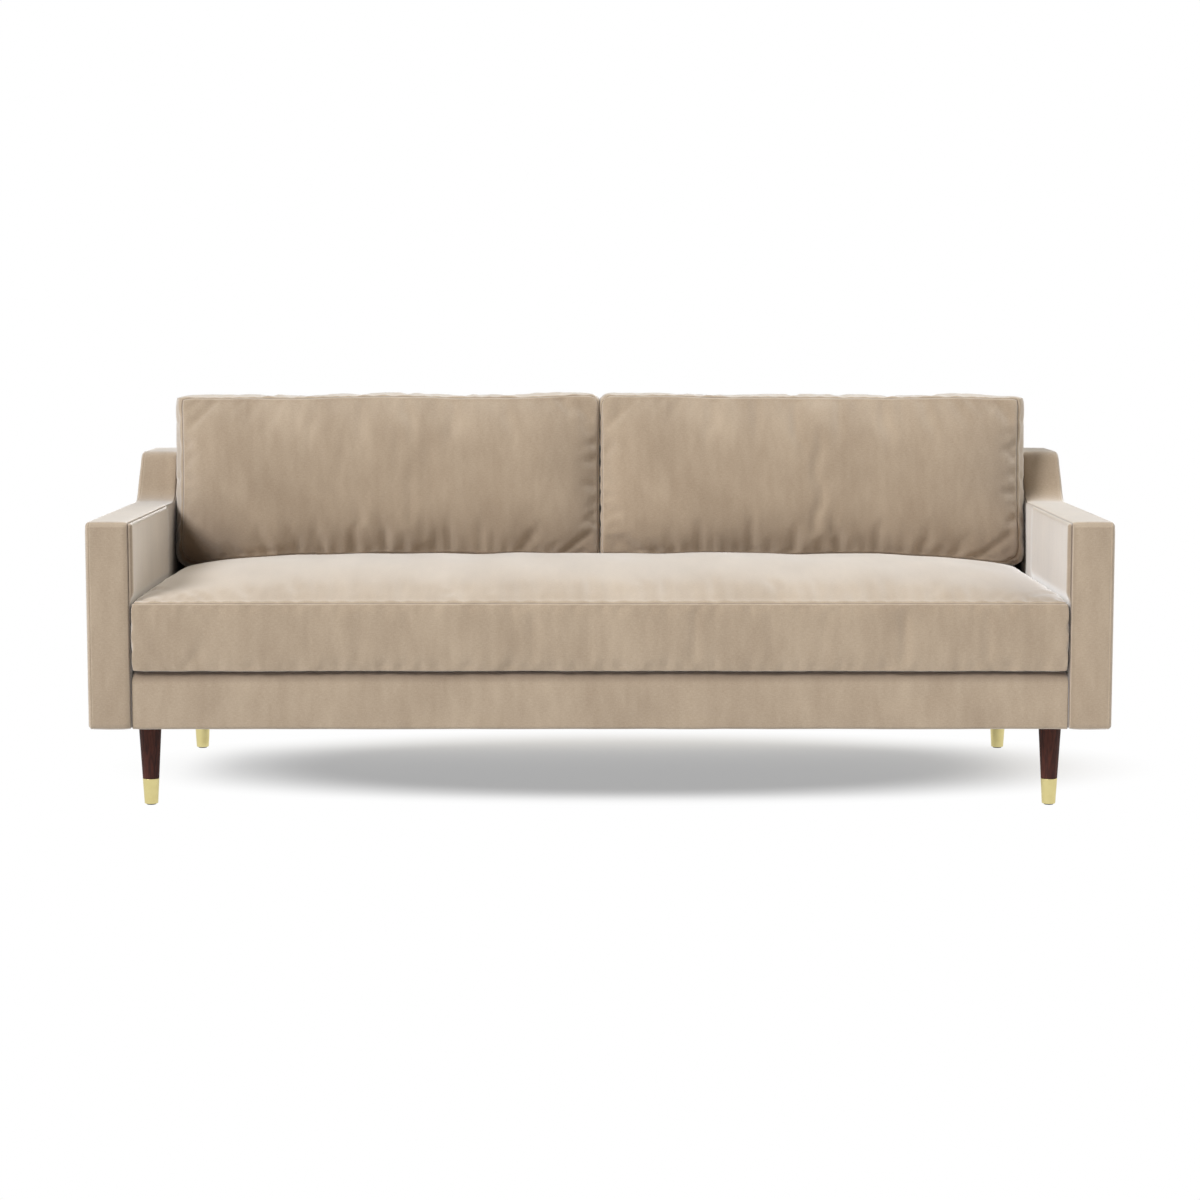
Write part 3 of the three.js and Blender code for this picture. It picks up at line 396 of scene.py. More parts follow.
@dataclass(frozen=True)
class Outline:
    """A line of straight runs with rounded corners, walked by length.

    Attributes:
        corners: (first, second, radius) of each corner, in the plane of the outline.
        closed: whether the last corner joins the first.
    """

    corners: Sequence[Corner]
    closed: bool = True

    def walk(self) -> tuple[Array, Array, Array, Array]:
        """Goes along the outline in fine steps. An arc of radius r that turns by q starts r tan(q / 2)
        before its corner and is centre + r (cos, sin).

        Returns:
            Points, unit normals to the left, radii (0 at open ends), and the length at each corner's middle.
        """
        spots = np.array([corner[:2] for corner in self.corners])
        total = len(spots)
        points, bends, middles = [], [], []
        for i, here in enumerate(spots):
            arc, radius, half = here[None], 0.0, 0
            if self.closed or 0 < i < total - 1:
                enter, leave = here - spots[i - 1], spots[(i + 1) % total] - here
                enter, leave = enter / np.linalg.norm(enter), leave / np.linalg.norm(leave)
                turn = math.atan2(enter[0] * leave[1] - enter[1] * leave[0], enter @ leave)
                radius = max(self.corners[i][2], SHARP)
                inward = np.array([-enter[1], enter[0]]) * math.copysign(1, turn)
                centre = here - enter * radius * math.tan(abs(turn) / 2) + inward * radius
                count = max(4, int(abs(turn) * radius / FINE))
                sweep = np.linspace(0, turn, count + 1)[:, None]
                spoke = -inward * radius
                arc = centre + spoke * np.cos(sweep) + np.array([-spoke[1], spoke[0]]) * np.sin(sweep)
                half = count // 2
            points.append(arc)
            bends.append(np.full(len(arc), radius))
            middles.append(sum(map(len, points)) - 1 - half)
        line, bend = np.concatenate(points), np.concatenate(bends)
        if self.closed:
            line, bend = np.vstack([line, line[:1]]), np.append(bend, bend[0])
        lengths = walked_along(line)
        fine = np.linspace(0, lengths[-1], int(lengths[-1] / FINE) + 2)
        path = rows_at(fine, lengths, line)
        tangent = np.gradient(path, axis=0)
        if self.closed:
            tangent[0] = tangent[-1] = path[1] - path[-2]
        tangent /= np.maximum(np.linalg.norm(tangent, axis=1, keepdims=True), TINY)
        normals = np.stack([-tangent[:, 1], tangent[:, 0]], -1)
        return path, normals, np.interp(fine, lengths, bend), lengths[middles]

    @staticmethod
    def load(lengths: Array, size: Array, reach: int) -> Array:
        """Cells passed at each length: the integral of 1 / size, smoothed.

        Args:
            lengths: lengths along the outline, rising.
            size: wanted cell at each of them.
            reach: places on either side over which it is smoothed.

        Returns:
            Cells from the start, in lengths' shape.
        """
        window = np.full(2 * reach + 1, 1 / (2 * reach + 1))
        even = np.convolve(np.pad(1 / size, reach, mode="edge"), window, "valid")
        return np.append(0, np.cumsum(even[1:] * np.diff(lengths)))

    @staticmethod
    def pick(place: Array, lengths: Array, line: Array, normals: Array) -> tuple[Array, Array]:
        """Points and unit normals at some lengths."""
        out = rows_at(place, lengths, normals)
        return rows_at(place, lengths, line), out / np.linalg.norm(out, axis=1, keepdims=True)

    def sample(
        self, counts: Sequence[int], between: Sequence[int], cell: float, seam: tuple[int, float]
    ) -> tuple[list[Stations], float]:
        """Stations along the stretches between given corners' middles, closer together where it bends
        and at a cross seam.

        Args:
            counts: cells on each stretch.
            between: the corners where the stretches meet, in order.
            cell: largest cell on a straight.
            seam: the corner that the cross seam is next to, and its length from that corner's middle.

        Returns:
            Points, normals and lengths for each stretch, its ends included, and the seam's length.
        """
        line, normals, radius, middles = self.walk()
        lengths = walked_along(line)
        seam_at = float(middles[seam[0]]) + seam[1]
        size = np.where(radius > 2 * SHARP, np.clip(0.3 * radius, 1.2 * MM, cell), cell)
        size = np.minimum(size, 1.0 * MM + 0.3 * np.abs(lengths - seam_at))
        load = self.load(lengths, size, 15)
        whole, heavy = (np.append(values, values[1:] + values[-1]) for values in (lengths, load))
        stops = [float(middles[i]) for i in between]
        found = []
        for count, start, end in zip(counts, stops, stops[1:] + stops[:1]):
            end += lengths[-1] if end <= start else 0
            want = np.linspace(np.interp(start, whole, heavy), np.interp(end, whole, heavy), count + 1)
            place = np.interp(want, heavy, whole)
            once = np.where(place > lengths[-1], place - lengths[-1], place)
            found.append((*self.pick(once, lengths, line, normals), place))
        return found, seam_at

    def stations(self, cell: float, finest: float = 1.2 * MM) -> Stations:
        """Stations along the whole outline, closer together where it bends.

        Args:
            cell: largest cell on a straight.
            finest: smallest cell on an arc.

        Returns:
            Points, normals and lengths.
        """
        line, normals, radius, _ = self.walk()
        lengths = walked_along(line)
        size = np.where(radius > 2 * SHARP, np.clip(0.3 * radius, finest, cell), cell)
        load = self.load(lengths, size, 8)
        place = np.interp(np.linspace(0, load[-1], math.ceil(load[-1]) + 1), load, lengths)
        return (*self.pick(place, lengths, line, normals), place)


@dataclass(frozen=True)
class Ripple:
    """Slow unevenness of stuffed cloth: a sum of plane waves a cos(k . p + f) with seeded k and f.

    Attributes:
        height: how far it goes each way, roughly.
        shortest: shortest wavelength.
        longest: longest wavelength.
        stretch: how much longer the waves are along the second direction.
        seed: what the waves are drawn from.
    """

    height: float
    shortest: float
    longest: float
    stretch: float = 1.0
    seed: int = 1

    def at(self, along: Array, across: Array) -> Array:
        """Height of the ripple, where the longest waves are the highest, with length^0.7.

        Args:
            along: first coordinate.
            across: second coordinate.

        Returns:
            Heights in the shape that both make together.
        """
        draw = np.random.default_rng(self.seed)
        waves = 24
        length = self.shortest * (self.longest / self.shortest) ** draw.random(waves)
        turn, phase = draw.random(waves) * math.tau, draw.random(waves) * math.tau
        k1, k2 = math.tau * np.cos(turn) / length, math.tau * np.sin(turn) / length / self.stretch
        share = (length / self.longest) ** 0.7
        total = sum(s * np.cos(p * along + q * across + f) for s, p, q, f in zip(share, k1, k2, phase))
        return self.height * total / math.sqrt((share**2).sum())


@dataclass(frozen=True)
class Puckers:
    """Short folds that run off a seam where it gathers the cloth.

    Attributes:
        per_metre: folds on a metre of seam.
        reach: shortest and longest fold.
        width: narrowest and widest fold.
        depth: shallowest and deepest fold.
        slant: how far a fold may lean, as sideways over away.
        seed: what the folds are drawn from.
    """

    per_metre: float
    reach: tuple[float, float]
    width: tuple[float, float]
    depth: tuple[float, float]
    slant: float
    seed: int

    def at(self, along: Array, away: Array, length: float) -> Array:
        """Height of the folds: each is -a e^(-((s - s0 - k d) / w)^2) e^(-(d / r)^1.5) (1 - e^(-d / 4 mm)).

        Seven in ten go in, the others stand out by 0.8 of their depth.

        Args:
            along: place along the seam, which closes on itself after length.
            away: distance from the seam.
            length: the seam's whole length.

        Returns:
            Heights, mostly below 0, in along's shape.
        """
        draw = np.random.default_rng(self.seed)
        count = max(1, int(self.per_metre * length))
        where, tilt = draw.random(count) * length, (draw.random(count) * 2 - 1) * self.slant
        ranges = (self.reach, self.width, self.depth)
        far, wide, deep = (low + (high - low) * draw.random(count) ** 1.5 for low, high in ranges)
        way = np.where(draw.random(count) < 0.7, -1.0, 0.8)
        total = np.zeros(along.shape)
        for fold in range(count):
            off = (along - where[fold] - tilt[fold] * away + length / 2) % length - length / 2
            near = (np.abs(off) < 3 * wide[fold]) & (away < 3 * far[fold])
            tail = np.exp(-((away[near] / far[fold]) ** 1.5))
            total[near] += way[fold] * deep[fold] * bell(off[near], wide[fold]) * tail
        return total * (1 - np.exp(-away / (4 * MM)))


class Graph:
    """Adds nodes to a node tree and links them."""

    def __init__(self, tree: Tree) -> None:
        """Keeps the tree."""
        self.tree = tree

    def feed(self, node: Node, inputs: Mapping[str | int, object]) -> None:
        """Sets a node's inputs, or links them.

        Args:
            node: the node.
            inputs: a value or another node's output, by input name or number.
        """
        for name, value in inputs.items():
            if isinstance(value, Socket):
                self.tree.links.new(value, node.inputs[name])
            else:
                node.inputs[name].default_value = value

    def add(self, kind: str, inputs: Mapping[str | int, object] | None = None, **settings: object) -> Node:
        """Adds a node.

        Args:
            kind: Blender's name of the node.
            inputs: a value or another node's output, by input name or number.
            settings: the node's own options.

        Returns:
            The node.
        """
        node = self.tree.nodes.new(kind)
        for name, value in settings.items():
            setattr(node, name, value)
        self.feed(node, inputs or {})
        return node

    def math(self, operation: str, *values: object, clamp: bool = False) -> Socket:
        """Result of a Math node, kept between 0 and 1 if clamp is set."""
        node = self.add("ShaderNodeMath", dict(enumerate(values)), operation=operation, use_clamp=clamp)
        return node.outputs[0]

    def mix(self, share: object, first: object, second: object) -> Socket:
        """Colour from the first to the second as the share rises."""
        return self.add("ShaderNodeMix", {0: share, 6: first, 7: second}, data_type="RGBA").outputs[2]

    def step(self, value: object, low: float, high: float) -> Socket:
        """Smooth rise from 0 at low to 1 at high."""
        inputs = {"Value": value, "From Min": low, "From Max": high}
        return self.add("ShaderNodeMapRange", inputs, interpolation_type="SMOOTHSTEP").outputs["Result"]

    def noise(
        self, vector: object, scale: Corner, detail: float = 2, rough: float = 0.5, mean: float = 0.5,
    ) -> Socket:
        """Noise with so many cells per metre along each direction, shifted to the wanted mean.

        Args:
            vector: coordinates in metres.
            scale: cells per metre along each direction.
            detail: finer layers of noise.
            rough: strength of the finer layers.
            mean: the mean, 0.5 or 0.

        Returns:
            The noise value.
        """
        placed = self.add("ShaderNodeMapping", {"Vector": vector, "Scale": scale}).outputs[0]
        inputs = {"Vector": placed, "Scale": 1.0, "Detail": detail, "Roughness": rough}
        found = self.add("ShaderNodeTexNoise", inputs).outputs[0]
        return found if mean else self.math("SUBTRACT", found, 0.5)

    def seen(self, *rays: str) -> Socket:
        """1 for these kinds of ray, 0 for others.

        Args:
            rays: names of the Light Path node's outputs.

        Returns:
            The mask.
        """
        path = self.add("ShaderNodeLightPath").outputs
        share = path[rays[0]]
        for ray in rays[1:]:
            share = self.math("MAXIMUM", share, path[ray])
        return share


def group(
    name: str,
    inputs: Mapping[str, object],
    outputs: Sequence[str],
    fill: Callable[[Graph, Mapping[str, Socket]], Mapping[str, Socket]],
) -> Tree:
    """Builds a shader node group once, and gives the built one from then on.

    Args:
        name: the group's name.
        inputs: standing value by input name: a number, a colour, or None for a vector.
        outputs: the outputs' names, of which Color is a colour and the others are numbers.
        fill: adds the nodes, given the graph and the inputs, and returns the outputs by name.

    Returns:
        The group.
    """
    if name in bpy.data.node_groups:
        return bpy.data.node_groups[name]
    kinds = {float: "NodeSocketFloat", tuple: "NodeSocketColor", type(None): "NodeSocketVector"}
    tree = bpy.data.node_groups.new(name, "ShaderNodeTree")
    for label, value in inputs.items():
        socket = tree.interface.new_socket(label, in_out="INPUT", socket_type=kinds[type(value)])
        if value is not None:
            socket.default_value = value
    for label in outputs:
        kind = kinds[tuple if label == "Color" else float]
        tree.interface.new_socket(label, in_out="OUTPUT", socket_type=kind)
    graph = Graph(tree)
    graph.add("NodeGroupOutput", fill(graph, graph.add("NodeGroupInput").outputs))
    return tree


def nap_group() -> Tree:
    """Velvet pile that lies this way and that: slow strokes along the cloth, finer brushing and yarn grain.

    Returns:
        The group, with Color and Height.
    """

    def fill(graph: Graph, given: Mapping[str, Socket]) -> dict[str, Socket]:
        """Colour share = 0.5 + strokes (slow + 0.45 fine) + grain yarn, each about its mean.

        Beside a seam the pile is rubbed paler, partly as a painted highlight on the seam's lip. In the stitch
        line it parts and shows the dark backing, partly as painted shade, and the painted shade mark darkens
        folds and gaps between pieces to the same dark colour.

        Args:
            graph: the group's nodes.
            given: the group's inputs.

        Returns:
            Color and Height.
        """
        slow = graph.noise(given["Vector"], (8, 4, 1), 2.5, 0.5, mean=0)
        fine = graph.noise(given["Vector"], (46, 13, 1), 2, 0.5, mean=0)
        yarn = graph.noise(given["Vector"], (130, 420, 1), 2, 0.6, mean=0)
        cross = graph.noise(given["Vector"], (700, 170, 1), 2, 0.6, mean=0)
        strokes, grain = graph.math("MULTIPLY_ADD", fine, 0.45, slow), graph.math("ADD", yarn, cross)
        share = graph.math("MULTIPLY_ADD", strokes, given["Strokes"], 0.5)
        share = graph.math("MULTIPLY_ADD", grain, given["Grain"], share, clamp=True)
        colour = graph.mix(share, given["Laid"], given["Raised"])
        # Lighter beside a seam: rubbed pile with a painted highlight. Darker in the stitch line: parted pile
        # with painted shade. Darker where the painted shade mark lies in folds and gaps.
        colour = graph.mix(graph.math("MULTIPLY", given["Seam"], given["Wear"]), colour, given["Worn"])
        parted_and_shaded = graph.math("MULTIPLY", graph.step(given["Seam"], 0.74, 0.98), given["Parting"])
        colour = graph.mix(graph.math("MAXIMUM", parted_and_shaded, given["Fold"]), colour, given["Thread"])
        return {"Color": colour, "Height": graph.math("MULTIPLY_ADD", grain, 0.5, fine)}

    inputs = {
        "Vector": None, "Raised": (0.6, 0.5, 0.4, 1), "Laid": (0.4, 0.3, 0.2, 1), "Strokes": 1.0,
        "Grain": 0.5, "Seam": 0.0, "Wear": 0.4, "Worn": (0.7, 0.6, 0.5, 1), "Parting": 0.75, "Fold": 0.0,
        "Thread": (0.2, 0.15, 0.1, 1),
    }
    return group("nap", inputs, ("Color", "Height"), fill)


def timber_group() -> Tree:
    """Wood: rings wavy along the grain, with pores and slow change of tone.

    Returns:
        The group, with Color, Roughness and Height.
    """

    def fill(graph: Graph, given: Mapping[str, Socket]) -> dict[str, Socket]:
        """Rings = sine of 'bend' noise stretched along the grain; pores are fine noise stretched further.

        Args:
            graph: the group's nodes.
            given: the group's inputs.

        Returns:
            Color, Roughness and Height.
        """
        bend = graph.noise(given["Vector"], (1, 1, 1), 3, 0.55)
        rings = graph.math("SINE", graph.math("MULTIPLY", bend, given["Rings"]))
        rings = graph.math("MULTIPLY_ADD", rings, 0.5, 0.5)
        pores = graph.noise(given["Vector"], (22, 22, 1.5), 3, 0.6)
        share = graph.math("MULTIPLY_ADD", graph.math("SUBTRACT", pores, 0.5), 0.8, rings, clamp=True)
        rough = graph.math("MULTIPLY_ADD", pores, 0.2, given["Roughness"])
        return {"Color": graph.mix(share, given["Late"], given["Early"]), "Roughness": rough, "Height": share}

    inputs = {
        "Vector": None, "Early": (0.5, 0.4, 0.3, 1), "Late": (0.3, 0.2, 0.1, 1), "Rings": 30.0,
        "Roughness": 0.4,
    }
    return group("timber", inputs, ("Color", "Roughness", "Height"), fill)


def weave_group() -> Tree:
    """Plain weave: two sets of threads that take turns on top.

    Returns:
        The group, with Color and Height.
    """

    def fill(graph: Graph, given: Mapping[str, Socket]) -> dict[str, Socket]:
        """Height = |sin(pi u)| or |sin(pi v)| in turn, from crossing to crossing of the threads.

        Args:
            graph: the group's nodes.
            given: the group's inputs.

        Returns:
            Color and Height.
        """
        parts = graph.add("ShaderNodeSeparateXYZ", {0: given["Vector"]})
        turn = [graph.math("MULTIPLY", parts.outputs[i], given["Threads"]) for i in range(2)]
        waves = [graph.math("ABSOLUTE", graph.math("SINE", graph.math("MULTIPLY", t, math.pi))) for t in turn]
        odd = graph.math("FLOORED_MODULO", graph.math("ADD", *(graph.math("FLOOR", t) for t in turn)), 2.0)
        over = graph.math("MULTIPLY", waves[0], odd)
        under = graph.math("MULTIPLY", waves[1], graph.math("SUBTRACT", 1.0, odd))
        height = graph.math("ADD", over, under)
        tone = graph.noise(given["Vector"], (35, 35, 35))
        share = graph.math("MULTIPLY_ADD", tone, 0.5, graph.math("MULTIPLY", height, 0.6), clamp=True)
        return {"Color": graph.mix(share, given["Dark"], given["Pale"]), "Height": height}

    inputs = {"Vector": None, "Pale": (0.5, 0.5, 0.5, 1), "Dark": (0.3, 0.3, 0.3, 1), "Threads": 900.0}
    return group("weave", inputs, ("Color", "Height"), fill)


def handling_group() -> Tree:
    """Fine scratches and faint smudges of handled metal or plastic.

    Returns:
        The group, with Color, Roughness and Height.
    """

    def fill(graph: Graph, given: Mapping[str, Socket]) -> dict[str, Socket]:
        """Scratches are noise stretched round the piece, smudges slow noise that roughens it.

        Args:
            graph: the group's nodes.
            given: the group's inputs.

        Returns:
            Color, Roughness and Height.
        """
        fine = graph.noise(given["Vector"], (60, 60, 2600), 2, 0.6)
        smudge = graph.noise(given["Vector"], (30, 30, 45), 3, 0.5)
        rough = graph.math("MULTIPLY_ADD", graph.math("SUBTRACT", fine, 0.5), 0.18, given["Roughness"])
        rough = graph.math("MULTIPLY_ADD", graph.math("SUBTRACT", smudge, 0.5), 0.3, rough, clamp=True)
        return {"Color": graph.mix(smudge, given["Tint"], given["Shade"]), "Roughness": rough, "Height": fine}

    inputs = {"Vector": None, "Tint": (0.8, 0.8, 0.8, 1), "Shade": (0.7, 0.7, 0.7, 1), "Roughness": 0.3}
    return group("handling", inputs, ("Color", "Roughness", "Height"), fill)


@dataclass(frozen=True)
class Look:
    """A material of one Principled shader that one node group feeds.

    Attributes:
        name: material name.
    """

    name: str

    def shade(
        self, values: Mapping[str, object], tree: Tree, bump: tuple[float, float],
        inputs: Callable[[Graph], Mapping[str, object]],
    ) -> Material:
        """Builds the material.

        Args:
            values: plain values of the shader's inputs.
            tree: the node group, which feeds colour, bump and maybe roughness.
            bump: strength and height of the bump.
            inputs: gives the group's inputs, after it has added the nodes that they need.

        Returns:
            The material.
        """
        material = bpy.data.materials.new(self.name)
        material.use_nodes = True
        graph = Graph(material.node_tree)
        made = graph.add("ShaderNodeGroup", node_tree=tree)
        graph.feed(made, inputs(graph))
        raised = {"Height": made.outputs["Height"], "Strength": bump[0], "Distance": bump[1]}
        bumped = graph.add("ShaderNodeBump", raised)
        fed = {"Base Color": made.outputs["Color"], "Normal": bumped.outputs["Normal"]}
        if "Roughness" in made.outputs:
            fed["Roughness"] = made.outputs["Roughness"]
        graph.feed(material.node_tree.nodes["Principled BSDF"], {**values, **fed})
        return material


@dataclass(frozen=True)
class Velvet(Look):
    """Short-pile velvet with a soft sheen.

    Attributes:
        raised: colour where the pile stands towards the light.
        laid: colour where it lies away.
        worn: colour beside a seam, rubbed paler pile with a painted highlight on the seam's lip.
        thread: colour of the backing where the pile parts, also used for painted shade in the stitch line and
            in folds and gaps.
        strokes: contrast of the pile's direction.
        grain: contrast of the yarns.
        wear: how far the colour beside a seam goes towards the rubbed pile and its painted highlight.
    """

    raised: Colour
    laid: Colour
    worn: Colour
    thread: Colour
    strokes: float = 1.35
    grain: float = 0.8
    wear: float = 0.45

    def material(self) -> Material:
        """Builds the material.

        Returns:
            The material.
        """

        def inputs(graph: Graph) -> dict[str, object]:
            """Cloth map, seam mark and painted shade mark of the piece, with this velvet's values.

            Args:
                graph: the material's nodes.

            Returns:
                Inputs of the group.
            """
            marks = (SEAM_MARK, PAINTED_SHADE_MARK)
            seam, fold = (graph.add("ShaderNodeAttribute", attribute_name=mark) for mark in marks)
            return {
                "Vector": graph.add("ShaderNodeUVMap", uv_map=CLOTH_MAP).outputs["UV"], "Raised": self.raised,
                "Laid": self.laid, "Strokes": self.strokes, "Grain": self.grain, "Seam": seam.outputs["Fac"],
                "Wear": self.wear, "Worn": self.worn, "Fold": fold.outputs["Fac"], "Thread": self.thread,
            }

        values = {
            "Roughness": 0.9, "Specular IOR Level": 0.0, "Sheen Weight": 1.0, "Sheen Roughness": 0.6,
            "Sheen Tint": (0.97, 0.985, 1.0, 1),
        }
        return self.shade(values, nap_group(), (0.35, 0.6 * MM), inputs)


@dataclass(frozen=True)
class Timber(Look):
    """Wood with its grain along one direction.

    Attributes:
        early: pale colour of the ring.
        late: dark colour of the ring.
        scale: noise cells per metre, small along the grain.
        rings: how many rings the noise is cut into.
        roughness: roughness of the surface.
    """

    early: Colour
    late: Colour
    scale: Corner
    rings: float
    roughness: float

    def material(self) -> Material:
        """Builds the material.

        Returns:
            The material.
        """

        def inputs(graph: Graph) -> dict[str, object]:
            """Place in the piece, stretched along the grain, with this wood's values.

            Args:
                graph: the material's nodes.

            Returns:
                Inputs of the group.
            """
            place = {"Vector": graph.add("ShaderNodeTexCoord").outputs["Object"], "Scale": self.scale}
            return {
                "Vector": graph.add("ShaderNodeMapping", place).outputs[0], "Early": self.early,
                "Late": self.late, "Rings": self.rings, "Roughness": self.roughness,
            }

        return self.shade({"Specular IOR Level": 0.25}, timber_group(), (0.2, 0.3 * MM), inputs)


@dataclass(frozen=True)
class Woven(Look):
    """Plain woven cloth, tape or webbing.

    Attributes:
        pale: colour of the raised threads.
        dark: colour between them.
        threads: threads per metre.
    """

    pale: Colour
    dark: Colour
    threads: float

    def material(self) -> Material:
        """Builds the material.

        Returns:
            The material.
        """

        def inputs(graph: Graph) -> dict[str, object]:
            """Cloth map of the piece, with this weave's values."""
            cloth = graph.add("ShaderNodeUVMap", uv_map=CLOTH_MAP).outputs["UV"]
            return {"Vector": cloth, "Pale": self.pale, "Dark": self.dark, "Threads": self.threads}

        values = {"Roughness": 0.9, "Specular IOR Level": 0.3}
        return self.shade(values, weave_group(), (0.5, 0.4 * MM), inputs)


@dataclass(frozen=True)
class Handled(Look):
    """Metal or moulded plastic with the marks of handling.

    Attributes:
        tint: main colour.
        shade_colour: colour where it is smudged.
        metallic: 1 for metal, 0 for plastic.
        roughness: roughness of the surface.
    """

    tint: Colour
    shade_colour: Colour
    metallic: float
    roughness: float

    def material(self) -> Material:
        """Builds the material.

        Returns:
            The material.
        """

        def inputs(graph: Graph) -> dict[str, object]:
            """Place in the piece, with this surface's values.

            Args:
                graph: the material's nodes.

            Returns:
                Inputs of the group.
            """
            place = graph.add("ShaderNodeTexCoord").outputs["Object"]
            feeds = {"Tint": self.tint, "Shade": self.shade_colour, "Roughness": self.roughness}
            return {"Vector": place, **feeds}

        return self.shade({"Metallic": self.metallic}, handling_group(), (0.08, 0.1 * MM), inputs)


class Finish(Enum):
    """The sofa's finishes."""

    VELVET = Velvet(
        "taupe_velvet", srgb(182, 163, 140), srgb(152, 132, 109), srgb(212, 195, 173), srgb(80, 54, 34),
    )
    WALNUT = Timber("dark_walnut", srgb(76, 38, 28), srgb(52, 24, 18), (90, 90, 9), 26.0, 0.5)
    PINE = Timber("sawn_pine", srgb(222, 192, 142), srgb(186, 146, 92), (3, 45, 45), 30.0, 0.7)
    BRASS = Handled("satin_brass", srgb(222, 210, 152), srgb(204, 190, 132), 1.0, 0.36)
    STEEL = Handled("drawn_steel", srgb(150, 152, 156), srgb(112, 112, 112), 1.0, 0.38)
    NYLON = Handled("moulded_nylon", srgb(46, 46, 46), srgb(36, 36, 35), 0.0, 0.5)
    WEBBING = Woven("elastic_webbing", srgb(108, 98, 84), srgb(56, 50, 42), 420.0)
    CAMBRIC = Woven("dust_cloth", srgb(36, 36, 35), srgb(14, 14, 14), 1100.0)
    ZIP_TAPE = Woven("zip_tape", srgb(176, 158, 136), srgb(128, 112, 94), 1300.0)
    DECK = Woven("deck_cloth", srgb(168, 152, 132), srgb(120, 106, 90), 800.0)
    FOAM = Woven("fibre_wrap", srgb(238, 230, 214), srgb(214, 204, 184), 260.0)

    @property
    def material(self) -> Material:
        """The finish's material, built the first time that it is asked for."""
        return bpy.data.materials.get(self.value.name) or self.value.material()


class Side(Enum):
    """Left and right as the camera sees them."""

    LEFT = -1
    RIGHT = 1

    @property
    def word(self) -> str:
        """The side's name in the CAD nodes."""
        return self.name.lower()

    def order(self, outer: float, inner: float) -> tuple[float, float]:
        """An outer and an inner value in the order left, right."""
        return (outer, inner) if self is Side.LEFT else (inner, outer)


